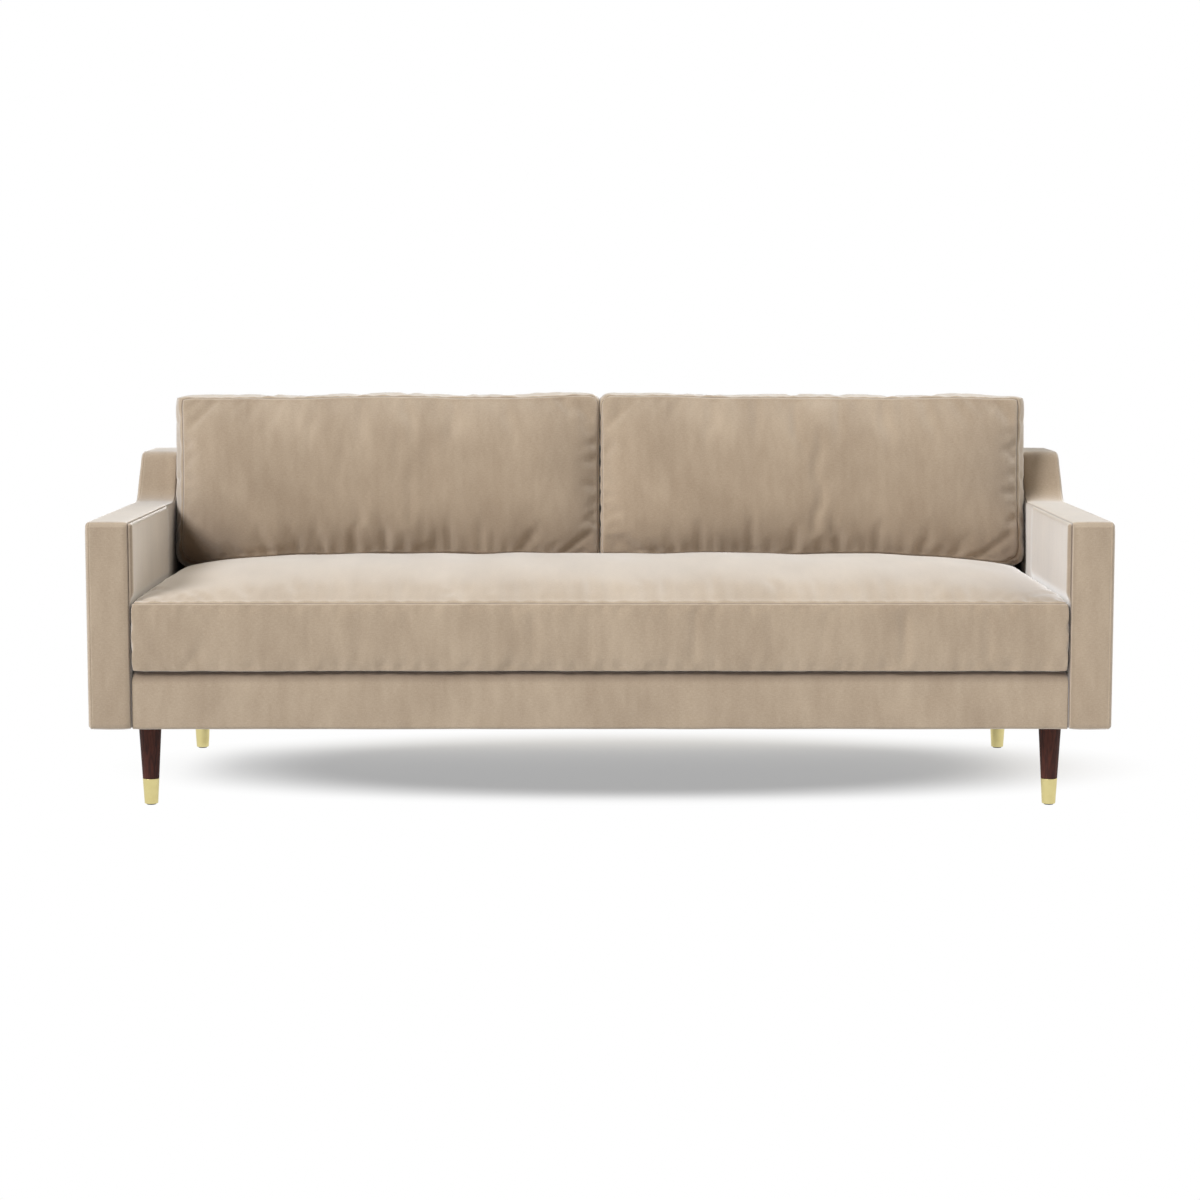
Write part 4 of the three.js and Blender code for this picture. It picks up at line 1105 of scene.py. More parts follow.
@dataclass
class Arm:
    """Upholstery of one arm: a strip round its edge, and an inside and an outside panel sewn onto it.

    The inside panel swells towards the seat where neither cushion presses on it.

    Attributes:
        side: which arm.
        roll: radius of the outside panel's rolled edge.
        inner_roll: how far the inside panel's rolled edge reaches in from the outline.
        inner_seam: distance of the inside seam from the arm's inner plane.
        swell: how far the inside panel stands out where nothing presses on it.
        seam_depths: depth of the seams beside the inside and the outside panel.
        sunk: how deep the strip lies in the outline.
        puff: how far the middle of a panel stands out.
        round_over: how far the strip falls back at the inside seam, and over which width.
        risers: how much narrower the arm gets towards its top, and the riser towards its own.
        cell: largest size of the grid's cells.
        cells: cells up the front and along the top.
        corners: depth, height and rounding of the outline's corners.
    """

    side: Side
    roll: float = 9 * MM
    inner_roll: float = 9.5 * MM
    inner_seam: float = 1.6 * MM
    swell: float = 7.5 * MM
    seam_depths: tuple[float, float] = mm(2.2, 0.5)
    sunk: float = 0.4 * MM
    puff: float = 3.0 * MM
    round_over: tuple[float, float] = mm(2.2, 13)
    risers: tuple[float, float] = mm(0.8, 5.5)
    cell: float = 9.5 * MM
    cells: tuple[int, int] = (78, 128)
    corners: tuple[Corner, ...] = (
        (FRONT, HEM, 10 * MM), (FRONT, ARM_TOP, 10 * MM), (FRONT + 674.7 * MM, ARM_TOP, 50 * MM),
        (FRONT + 716.2 * MM, BACK_TOP, 26 * MM), (REAR, BACK_TOP, 26 * MM), (BASE_REAR, HEM, 10 * MM),
    )

    def stand_out(self, y: Array, z: Array) -> Array:
        """How far the inside panel stands out at a place: swell above the seat cushion and before the
        back cushion, and 0 behind them, with smooth steps between.

        Args:
            y: depths.
            z: heights.

        Returns:
            Distances towards the seat, in y's shape.
        """
        clear_of_seat = smooth_step(z, DECK + 146 * MM, DECK + 170 * MM)
        clear_of_back = 1 - smooth_step(y, FRONT + 480 * MM, FRONT + 565 * MM)
        return self.swell * clear_of_seat * clear_of_back

    def fold(self, y: Array, z: Array) -> Array:
        """Painted shade mark of the inside, 0 to 1: deep beside the seat cushion and the rail, at the front.
        """
        beside = 1 - smooth_step(z, DECK + 136 * MM, DECK + 160 * MM)
        return 0.8 * beside * smooth_step(-y, -FRONT - 26 * MM, -FRONT - 6 * MM)

    def inner_section(self, half: float, stand: Array) -> Stations:
        """The strip's section from the inside panel's edge over its rolled edge and the seam to the middle.

        With w(q) = (cos q - cos 55) / (1 - cos 55), the roll is s - (s + stand) w as distance from the
        arm's inner plane, and r - r sin q / sin 55 as inset from the outline.

        Args:
            half: half of the arm's width.
            stand: how far the inside panel stands out at each station.

        Returns:
            Distances from the inner plane, shape (stations, n), insets and distances from the seam, (n,).
        """
        q = np.radians([0, 8, 16, 24, 31, 37, 43, 48, 52, 55])
        turn = (np.cos(q) - np.cos(q[-1])) / (1 - np.cos(q[-1]))
        rise = np.sin(q) / np.sin(q[-1])
        width = half - self.inner_seam
        flat = np.array(mm(0.6, 1.3, 2.2, 3.4, 5.2, 8, 12, 17, 23, 30, 38))
        flat = np.append(flat[flat < width - 3 * MM], width)
        rolled = self.inner_seam - (self.inner_seam + stand[:, None]) * turn
        level = np.broadcast_to(self.inner_seam + flat, (len(stand), len(flat)))
        deep, wide = self.round_over
        over = self.sunk + deep * np.clip(1 - flat / wide, 0, 1) ** 2
        insets = np.append(self.inner_roll + (self.sunk + deep - self.inner_roll) * rise, over)
        away = np.append(np.hypot(self.inner_roll * (1 - rise), 0.6 * self.swell * turn), flat)
        return np.concatenate([rolled, level], 1), insets, away

    def outer_section(self, half: float) -> Stations:
        """The strip's section from its middle over the outside seam to the outside panel's edge.

        The roll is (r - r cos q, r - r sin q) as distance from the panel's plane and inset from the outline.

        Args:
            half: half of the arm's width.

        Returns:
            Distances from the inner plane, insets, and distances from the seam.
        """
        q = np.radians([85.5, 80, 72, 63, 52, 40, 27, 14, 0])
        flat = np.array(mm(30, 23, 17, 12, 8, 5.2, 3.4, 2.2, 1.3, 0.6, 0))
        flat = flat[flat < half - self.roll - 3 * MM]
        places = 2 * half - np.append(self.roll + flat, self.roll * (1 - np.cos(q)))
        insets = np.append(np.full(len(flat), self.sunk), self.roll * (1 - np.sin(q)))
        return places, insets, np.append(flat, self.roll * (np.pi / 2 - q))

    def strip(self, stretches: Sequence[Stations], cross_seam: float) -> Panel:
        """The strip that runs round the arm, with its seams, and a cross seam at the front's top.

        Args:
            stretches: points, normals and lengths of the front, top, rear and under sides.
            cross_seam: length at which the cross seam lies.

        Returns:
            The strip, closed on itself.
        """
        front, under = stretches[0], stretches[-1]
        ends = (front[0][:1], front[1][:1], under[2][-1:])
        path, out, walked = (
            np.concatenate([part[k][:-1] for part in stretches] + [end]) for k, end in enumerate(ends)
        )
        rows, across = self.cells
        shown = np.ones((len(path), 1))
        shown[2 * rows + across + 3 : -3] = 0.15
        half = (OUTER_X - INNER_X) / 2
        near, inset, away = self.inner_section(half, self.stand_out(*(path - out * self.inner_roll).T))
        far, outer_inset, outer_away = self.outer_section(half)
        full = np.concatenate([near, np.broadcast_to(far, (len(path), len(far)))], 1)
        dip, away = np.append(inset, outer_inset), np.append(away, outer_away)
        inside = np.arange(len(dip)) < len(inset)
        crown = 1.0 * MM * (1 - ((np.clip(full, 0, None) - half) / half) ** 2)
        cross = np.abs(walked - cross_seam)[:, None]
        sewn = np.where(inside, *self.seam_depths) * groove(away, 1.0, 1.15 * MM)
        depth = dip - shown * (sewn + crown)
        held = smooth_step(full, 1.5 * MM, 4 * MM) * smooth_step(2 * half - full, 3 * MM, 9 * MM)
        depth -= groove(cross, 2.0 * MM, 1.15 * MM) * held
        wander = Ripple(0.35 * MM, 0.07, 0.35, seed=11).at(walked[:, None], full)
        depth -= wander * np.clip(away / (8 * MM), 0, 1) * (dip < self.roll)
        depth[:, 0], depth[:, -1] = self.inner_roll, self.roll
        side = path[:, None] - out[:, None] * depth[..., None]
        points = np.concatenate([(INNER_X + full)[..., None], side], -1)
        seam = np.maximum(bell(away, 3 * MM) * np.where(inside, 1.0, 0.2), bell(cross, 3 * MM) * held) * shown
        # Painted shade on the strip: the inside's rolled edge and the band beside the inside seam are
        # darkened along the front, and the part beside the seat cushion and the rail as on the inside panel.
        turned = smooth_step(self.inner_seam + 1.2 * MM - full, 0, 1.4 * MM)
        rolled = 0.34 * np.sin(np.pi * np.clip(depth / self.inner_roll, 0, 1)) * turned
        rolled = np.maximum(rolled, 0.24 * inside * (1 - smooth_step(away, 0, 13 * MM)))
        fold = np.maximum(self.fold(points[..., 1], points[..., 2]) * turned, rolled * (out[:, :1] < -0.7))
        flat = np.stack(np.broadcast_arrays(full, walked[:, None]), -1)
        return Panel(points, flat, {SEAM_MARK: seam, PAINTED_SHADE_MARK: fold})

    def face(self, inner: bool, stretches: Sequence[Stations]) -> Panel:
        """An inside or outside panel: a Coons patch between the four inset sides, puffed in its middle.

        The patch is (1 - v) under + v top + (1 - u) front + u rear, less the bilinear patch of its corners.

        Args:
            inner: whether it is the inside panel.
            stretches: points, normals and lengths of the front, top, rear and under sides, going round.

        Returns:
            The panel.
        """
        roll = self.inner_roll if inner else self.roll
        front, top, rear, under = (part[0] - part[1] * roll for part in stretches)
        rear, under = rear[::-1], under[::-1]
        u = np.linspace(0, 1, len(top))[:, None, None]
        v = np.linspace(0, 1, len(front))[None, :, None]
        patch = (1 - v) * under[:, None] + v * top[:, None] + (1 - u) * front[None] + u * rear[None]
        corners = (1 - u) * (1 - v) * under[0] + u * (1 - v) * under[-1]
        patch -= corners + (1 - u) * v * top[0] + u * v * top[-1]
        u, v, y, z = u[..., 0], v[..., 0], patch[..., 0], patch[..., 1]
        stand = self.puff * (1 - np.abs(2 * u - 1) ** 8) * (1 - np.abs(2 * v - 1) ** 6)
        edge = np.minimum(np.minimum(u, 1 - u) * 0.9, np.minimum(v, 1 - v) * 0.45)
        stand += Ripple(0.7 * MM, 0.12, 0.6, seed=5 if inner else 6).at(y, z) * smooth_step(edge, 0, 0.08)
        if inner:
            stand = np.minimum(stand * 0.6, 1.2 * MM) + self.stand_out(y, z)
        x = INNER_X - stand if inner else OUTER_X + stand
        # The inside panel takes the painted shade beside the seat cushion and the rail.
        marks = {SEAM_MARK: np.zeros(x.shape), PAINTED_SHADE_MARK: self.fold(y, z) * float(inner)}
        return Panel(np.stack([x, y, z], -1), patch, marks, flip=not inner)

    def build(self) -> Piece:
        """Builds the arm's upholstery. The right arm is made, tapered, and mirrored for the left one.

        Returns:
            The piece.
        """
        rows, across = self.cells
        counts = (rows, across, rows, across)
        stretches, cross_seam = Outline(self.corners).sample(counts, (0, 1, 4, 5), self.cell, (1, -4.5 * MM))
        panels = [self.strip(stretches, cross_seam), self.face(True, stretches), self.face(False, stretches)]
        shell = Shell.weld(panels)
        x, _, z = shell.points.T
        arm, riser = self.risers
        taper = arm * smooth_step(z, 0.6, ARM_TOP) + riser * smooth_step(z, ARM_TOP + 10 * MM, BACK_TOP)
        x -= np.maximum(x - INNER_X, 0) * taper / (OUTER_X - INNER_X)
        x *= self.side.value
        if self.side is Side.LEFT:
            shell.faces, shell.cloth = shell.faces[:, ::-1], shell.cloth[:, ::-1]
        word = self.side.word
        piece = shell.build(f"arm_upholstery_{word}", Finish.VELVET.material)
        return hand_in(piece, "velvet", f"arm_cover_{word}", f"arm_foam_{word}", fill=1.0)


@dataclass
class FrontRail:
    """Velvet over the front rail, rounded at its nose and at the upper ends.

    Attributes:
        face: depth of its front.
        depth: how far it runs back under the seat cushion.
        nose: radius of its upper edge.
        heel: radius of its lower edge.
        thickness: velvet and foam.
        end_round: how far the upper ends are rounded off.
        end_turn: radius where the front turns in beside the arms.
    """

    face: float = FRONT + 6 * MM
    depth: float = 46 * MM
    nose: float = 18 * MM
    heel: float = 7 * MM
    thickness: float = 9.5 * MM
    end_round: float = 12 * MM
    end_turn: float = 1.5 * MM

    def build(self) -> Piece:
        """Builds the rail's upholstery.

        Returns:
            The piece.
        """
        back = self.face + self.depth
        corners = ((back, HEM, 0), (self.face, HEM, self.heel), (self.face, DECK, self.nose), (back, DECK, 0))
        line, out, walked = Outline(corners, closed=False).stations(9 * MM)
        x = knots(2 * BETWEEN_X, 10 * MM, mm(0, 0.7, 1.5, 2.6, 4.5, 7.5, 11, 16)) - BETWEEN_X
        end = (BETWEEN_X - np.abs(x))[:, None]
        drop = roll_off(end, self.end_round)
        high = smooth_step(line[:, 1], DECK - 34 * MM, DECK - 8 * MM)
        waves = Ripple(0.5 * MM, 0.05, 0.4, 0.4, seed=21).at(x[:, None], walked)
        front = smooth_step(line[:, 0], self.face + 14 * MM, self.face + 2 * MM)
        puff = 1.2 * MM * np.sin(np.pi * np.clip((line[:, 1] - BASE) / (DECK - BASE), 0, 1))
        inset = roll_off(end, self.end_turn) - (waves + puff) * front * smooth_step(end, 0, 20 * MM)
        outer = swept(x, line, out, inset)
        inner = swept(x, line, out, np.full(inset.shape, self.thickness))
        outer[..., 2] -= drop * high
        inner[..., 2] -= np.maximum(drop - 3 * MM, 0) * high
        # Painted shade: darker up under the seat cushion's edge and at both ends beside the arms.
        shaded_under_cushion = 1 - smooth_step(DECK - outer[..., 2], 0, 30 * MM)
        fold = np.maximum(0.85 * shaded_under_cushion, 0.7 * (1 - smooth_step(end, 0.3 * MM, 1.8 * MM)))
        shell = Shell.weld(slab(outer, inner, flat_of(x, walked), fold=fold))
        piece = shell.build("front_rail_upholstery", Finish.VELVET.material)
        return hand_in(piece, "velvet", "rail_cover", "rail_foam", fill=1.0)


@dataclass
class Back:
    """Upholstery of the back between the arms: inside back with its top, and outside back.

    Attributes:
        top_round: radius of the back's upper edges.
        foam: thickness inside, velvet included.
        top_foam: thickness on the top and the rear, velvet included.
        hem: thickness of the velvet's hem.
        seam_roll: radius where the panels turn into their seam.
        seam_lead: how far before the rear edge their seam runs along the top.
        seam_gap: half of the gap between the panels.
    """

    top_round: float = 26 * MM
    foam: float = 26 * MM
    top_foam: float = 11.5 * MM
    hem: float = 2.2 * MM
    seam_roll: float = 2.5 * MM
    seam_lead: float = 31 * MM
    seam_gap: float = 0.15 * MM

    def panel(
        self, corners: Sequence[Corner], thickness: Callable[[Array], Array], seam_end: int, seed: int,
    ) -> Shell:
        """A padded panel carried across the back, rolled in at its ends and at its seam.

        Args:
            corners: side profile of its outer face.
            thickness: thickness at the profile's points.
            seam_end: 0 or -1, the end of the profile that is the seam.
            seed: of its unevenness.

        Returns:
            The closed shell.
        """
        line, out, walked = Outline(corners, closed=False).stations(12 * MM)
        x = knots(2 * BETWEEN_X, 14 * MM, mm(0, 0.7, 1.6, 3, 6, 12)) - BETWEEN_X
        from_seam = np.abs(walked - walked[seam_end])
        end = (BETWEEN_X - np.abs(x))[:, None]
        inset = np.maximum(roll_off(end, self.seam_roll), roll_off(from_seam, self.seam_roll))
        waves = Ripple(0.6 * MM, 0.1, 0.6, 0.6, seed=seed).at(x[:, None], walked)
        inset += (0.6 * MM - waves) * smooth_step(end, 0, 60 * MM) * smooth_step(from_seam, 0, 60 * MM)
        outer = swept(x, line, out, inset)
        inner = swept(x, line, out, np.broadcast_to(thickness(line), inset.shape))
        seam = np.broadcast_to(bell(from_seam, 3 * MM), inset.shape)
        return Shell.weld(slab(outer, inner, flat_of(x, walked), seam=seam))

    def build(self) -> list[Piece]:
        """Builds the inside and the outside back.

        Returns:
            Both pieces.
        """
        tuck, seam_y, top_y = DECK - 7.5 * MM, outside_back(BACK_TOP) - self.seam_lead, inside_back(BACK_TOP)
        inside = (
            (inside_back(tuck), tuck, 0), (top_y, BACK_TOP, self.top_round),
            (seam_y - self.seam_gap, BACK_TOP, 0),
        )
        outside = (
            (seam_y + self.seam_gap, BACK_TOP, 0), (outside_back(BACK_TOP), BACK_TOP, self.top_round),
            (BASE_REAR, BASE, 6 * MM), (BASE_REAR - 30 * MM, BASE, 0),
        )

        def inside_thickness(line: Array) -> Array:
            """Thick on the inside back, thin along the top."""
            return self.foam + (self.top_foam - self.foam) * smooth_step(line[:, 0], top_y, top_y + 20 * MM)

        def outside_thickness(line: Array) -> Array:
            """Thin all over, and only velvet along the hem."""
            above = smooth_step(line[:, 1], BASE + 8 * MM, BASE + 30 * MM)
            return self.hem + (self.top_foam - self.hem) * above

        pieces = []
        for word, corners, thickness, seam_end, seed, nodes in (
            ("inside", inside, inside_thickness, -1, 31, ("inside_back_cover", "back_foam")),
            ("outside", outside, outside_thickness, 0, 32, ("outside_back_cover",)),
        ):
            shell = self.panel(corners, thickness, seam_end, seed)
            piece = shell.build(f"{word}_back_upholstery", Finish.VELVET.material)
            pieces.append(hand_in(piece, "velvet", *nodes, fill=1.0))
        return pieces


@dataclass
class Deck:
    """Seat deck under the cushion: a pad and the cloth stretched over it.

    Attributes:
        cloth_thickness: thickness of the deck cloth.
    """

    cloth_thickness: float = 1.2 * MM

    def build(self) -> list[Piece]:
        """Builds the deck cloth, which sinks along its edges, and the pad, which is rounded there.

        Returns:
            Both pieces.
        """
        low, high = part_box("deck_cover")
        wide, deep, edge = tray("deck_cover", mm(18, 16), mm(0, 1, 3, 7))
        sink = 0.5 * MM * np.exp(-edge / (2 * MM)) + Ripple(0.15 * MM, 0.08, 0.5, seed=41).at(wide, deep)
        top = np.stack([wide, deep, DECK - 0.25 * MM - np.clip(sink, -0.2 * MM, 1 * MM)], -1)
        under = top - np.array([0, 0, self.cloth_thickness])
        cloth = Shell.weld(slab(top, under)).build("deck_cloth", Finish.DECK.material)
        low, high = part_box("deck_pad")
        wide, deep, edge = tray("deck_pad", mm(24, 20), mm(0, 2, 5, 9))
        roll = 4 * MM * np.exp(-edge / (3 * MM))
        waves = np.minimum(Ripple(0.4 * MM, 0.1, 0.5, seed=42).at(wide, deep), 0.3 * MM)
        top = np.stack([wide, deep, high.z - 0.8 * MM - roll + waves], -1)
        under = np.stack([wide, deep, low.z + 0.4 * MM + roll], -1)
        pad = Shell.weld(slab(top, under)).build("deck_padding", Finish.FOAM.material)
        return [hand_in(cloth, "velvet", "deck_cover"), hand_in(pad, "foam", "deck_pad", fill=0.9)]


@dataclass
class BackWebbing:
    """Elastic straps woven over the back frame.

    Attributes:
        width: width of a strap.
        thickness: thickness of a strap.
        uprights: straps that run up.
        crosses: straps that run across.
        lift: how far a strap rises where it passes over another.
    """

    width: float = 52 * MM
    thickness: float = 1.3 * MM
    uprights: int = 10
    crosses: int = 3
    lift: float = 1.0 * MM

    def build(self) -> Piece:
        """Builds all straps as one piece: each swings by lift cos(pi s / pitch) between its neighbours.

        Returns:
            The piece.
        """
        low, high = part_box("back_webbing")
        length, half = (high.z - low.z) / math.cos(BACK_LEAN), self.width / 2
        origin = np.array([0, low.y + half * self.thickness / self.width + 1.4 * MM, low.z])
        xs = np.linspace(low.x + half, high.x - half, self.uprights)
        vs = np.linspace(half, length - half, self.crosses)
        up, along = np.linspace(0, length, 60), np.linspace(low.x, high.x, 300)
        panels: list[Panel] = []
        for places, others, run, across, way, lift in (
            (xs, vs, up, ACROSS, UP_BACK, self.lift), (vs, xs, along, UP_BACK, ACROSS, -self.lift),
        ):
            for number, place in enumerate(places):
                swing = lift * np.cos(math.pi * (run - others[0]) / (others[1] - others[0])) * (-1) ** number
                middle = origin + place * across + np.outer(run, way) + np.outer(swing, OFF_BACK)
                panels += self.strap(middle, across)
        piece = Shell.weld(panels).build("back_webbing_straps", Finish.WEBBING.material)
        return hand_in(piece, "webbing", "back_webbing")

    def strap(self, middle: Array, across: Array) -> list[Panel]:
        """One strap of even width along a line, given the direction of its width."""
        face = middle[:, None] + np.linspace(-0.5, 0.5, 5)[None, :, None] * self.width * across
        return slab(face + OFF_BACK * self.thickness / 2, face - OFF_BACK * self.thickness / 2)


@dataclass
class DustCover:
    """Black cloth stapled under the frame, with the staples.

    Attributes:
        sag: how far the cloth hangs in its middle.
        thickness: thickness of the cloth.
        pitch: distance between staples.
        inset: distance of the staples from the cloth's edge.
    """

    sag: float = 3.5 * MM
    thickness: float = 0.6 * MM
    pitch: float = 55 * MM
    inset: float = 8 * MM

    def build(self) -> list[Piece]:
        """Builds the cloth, drawn up at the staples and hanging in its middle, and the staples.

        Returns:
            Both pieces.
        """
        low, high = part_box("dust_cover")
        wide, deep, edge = tray("dust_cover", mm(16, 14), mm(0, 3, 8))
        hang = self.sag * smooth_step(edge, 12 * MM, 300 * MM)
        drawn = 0.7 * MM * np.cos(math.tau * wide / self.pitch) * np.exp(-edge / (45 * MM))
        drawn = np.minimum(drawn * smooth_step(edge, 0, 12 * MM), 0)
        waves = Ripple(0.6 * MM, 0.1, 0.7, seed=51).at(wide, deep) * smooth_step(edge, 10 * MM, 120 * MM)
        under = np.stack([wide, deep, low.z + 0.1 * MM - hang + drawn + np.minimum(waves, 0.5 * MM)], -1)
        top = under + np.array([0, 0, self.thickness])
        cloth = Shell.weld(slab(top, under)).build("dust_cloth", Finish.CAMBRIC.material)
        return [hand_in(cloth, "cambric", "dust_cover"), hand_in(self.staples(low, high), "spring_steel")]

    def staples(self, low: Sequence[float], high: Sequence[float]) -> Piece:
        """Staples in a line round the cloth, each a flattened bar 10 mm long.

        Args:
            low: lowest corner of the cloth's node.
            high: highest corner of it.

        Returns:
            The staples as one piece.
        """
        xs, ys = (np.arange(low[k] + 3 * self.inset, high[k] - 2 * self.inset, self.pitch) for k in (0, 1))
        spots = [(x, y, 0.0) for x in xs for y in (low[1] + self.inset, high[1] - self.inset)]
        spots += [(x, y, math.pi / 2) for y in ys for x in (low[0] + self.inset, high[0] - self.inset)]
        along, drop = np.array(mm(-5, -4.6, 0, 4.6, 5)), np.array(mm(-0.4, -0.9, -1.0, -0.9, -0.4))
        ring = np.array([mm(-0.6, 0), mm(0, 0.35), mm(0.6, 0), mm(0, -0.35), mm(-0.6, 0)])
        bar = np.stack(np.broadcast_arrays(along[:, None], ring[:, 0], drop[:, None] + ring[:, 1]), -1).copy()
        bar[[0, -1], :, 1], bar[[0, -1], :, 2] = 0, drop[[0, -1], None]
        panels = []
        for x, y, turn in spots:
            c, s = math.cos(turn), math.sin(turn)
            placed = bar @ np.array([[c, s, 0], [-s, c, 0], [0, 0, 1]]) + np.array([x, y, low[2]])
            panels.append(Panel(placed, grid_of(placed)))
        return Shell.weld(panels).build("dust_cover_staples", Finish.STEEL.material)


@dataclass
class Leg:
    """A turned leg with its ferrule and glide, as profiles turned about the leg's axis.

    Attributes:
        row: front or rear.
        side: left or right.
        sides: segments round the axis.
        foot_radius: radius of the cone at the glide.
        top_radius: radius of the cone at the base.
        ferrule_top: height of the ferrule's upper edge.
        glide_top: height of the ferrule's lower edge.
        wall: thickness of the ferrule.
        gap: air between leg and ferrule.
    """

    row: str
    side: Side
    sides: int = 56
    foot_radius: float = 14.7 * MM
    top_radius: float = 24.7 * MM
    ferrule_top: float = 58 * MM
    glide_top: float = 2.5 * MM
    wall: float = 1.1 * MM
    gap: float = 0.3 * MM

    def radius(self, z: float) -> float:
        """Radius of the cone at a height."""
        share = (z - self.glide_top) / (BASE - self.glide_top)
        return self.foot_radius + (self.top_radius - self.foot_radius) * share

    def turned(self, corners: Sequence[Corner]) -> Panel:
        """Turns a rounded profile about the leg's axis.

        Args:
            corners: radius, height and rounding of its corners; it starts and ends on the axis.

        Returns:
            A closed panel: (x + r cos q, y + r sin q, z).
        """
        low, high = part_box(f"leg_{self.row}_{self.side.word}")
        line, _, walked = Outline(corners, closed=False).stations(14 * MM, 0.25 * MM)
        q = np.linspace(0, math.tau, self.sides + 1)
        radius = np.maximum(line[:, :1], 0)
        x, y = (low.x + high.x) / 2 + radius * np.cos(q), (low.y + high.y) / 2 + radius * np.sin(q)
        points = np.stack(np.broadcast_arrays(x, y, line[:, 1:]), -1).copy()
        points[:, -1] = points[:, 0]
        return Panel(points, np.stack(np.broadcast_arrays(q * self.top_radius, walked[:, None]), -1))

    def build(self) -> list[Piece]:
        """Builds leg, ferrule and glide.

        Returns:
            The three pieces.
        """
        top, spigot, floor = BASE - 0.3 * MM, self.glide_top + 1.9 * MM, self.glide_top + 1.6 * MM
        rim, socket, glide = self.radius(self.ferrule_top), self.ferrule_top + self.gap, mm(10.5, 2.2)
        inside = self.wall + self.gap
        parts = {
            "leg": (Finish.WALNUT, "leg_wood", (
                (0, spigot, 0), (self.radius(spigot) - inside, spigot, 0.8 * MM),
                (rim - inside, socket, 0.1 * MM), (rim, socket, 0.7 * MM),
                (self.radius(top), top, 1.6 * MM), (0, top, 0),
            )),
            "ferrule": (Finish.BRASS, "ferrule_brass", (
                (0, self.glide_top, 0), (self.foot_radius, self.glide_top, 1.4 * MM),
                (rim + 0.15 * MM, self.ferrule_top, 0.45 * MM), (rim - self.wall, self.ferrule_top, 0.3 * MM),
                (self.radius(floor) - self.wall, floor, 0.3 * MM), (0, floor, 0),
            )),
            "glide": (Finish.NYLON, "nylon", (
                (0, 0, 0), (glide[0], 0, 0.8 * MM), (*glide, 0.4 * MM), (0, glide[1], 0),
            )),
        }
        pieces = []
        for word, (finish, slot, corners) in parts.items():
            node = f"{word}_{self.row}_{self.side.word}"
            piece = Shell.weld([self.turned(corners)]).build(f"turned_{node}", finish.material)
            pieces.append(hand_in(piece, slot, node))
        return pieces


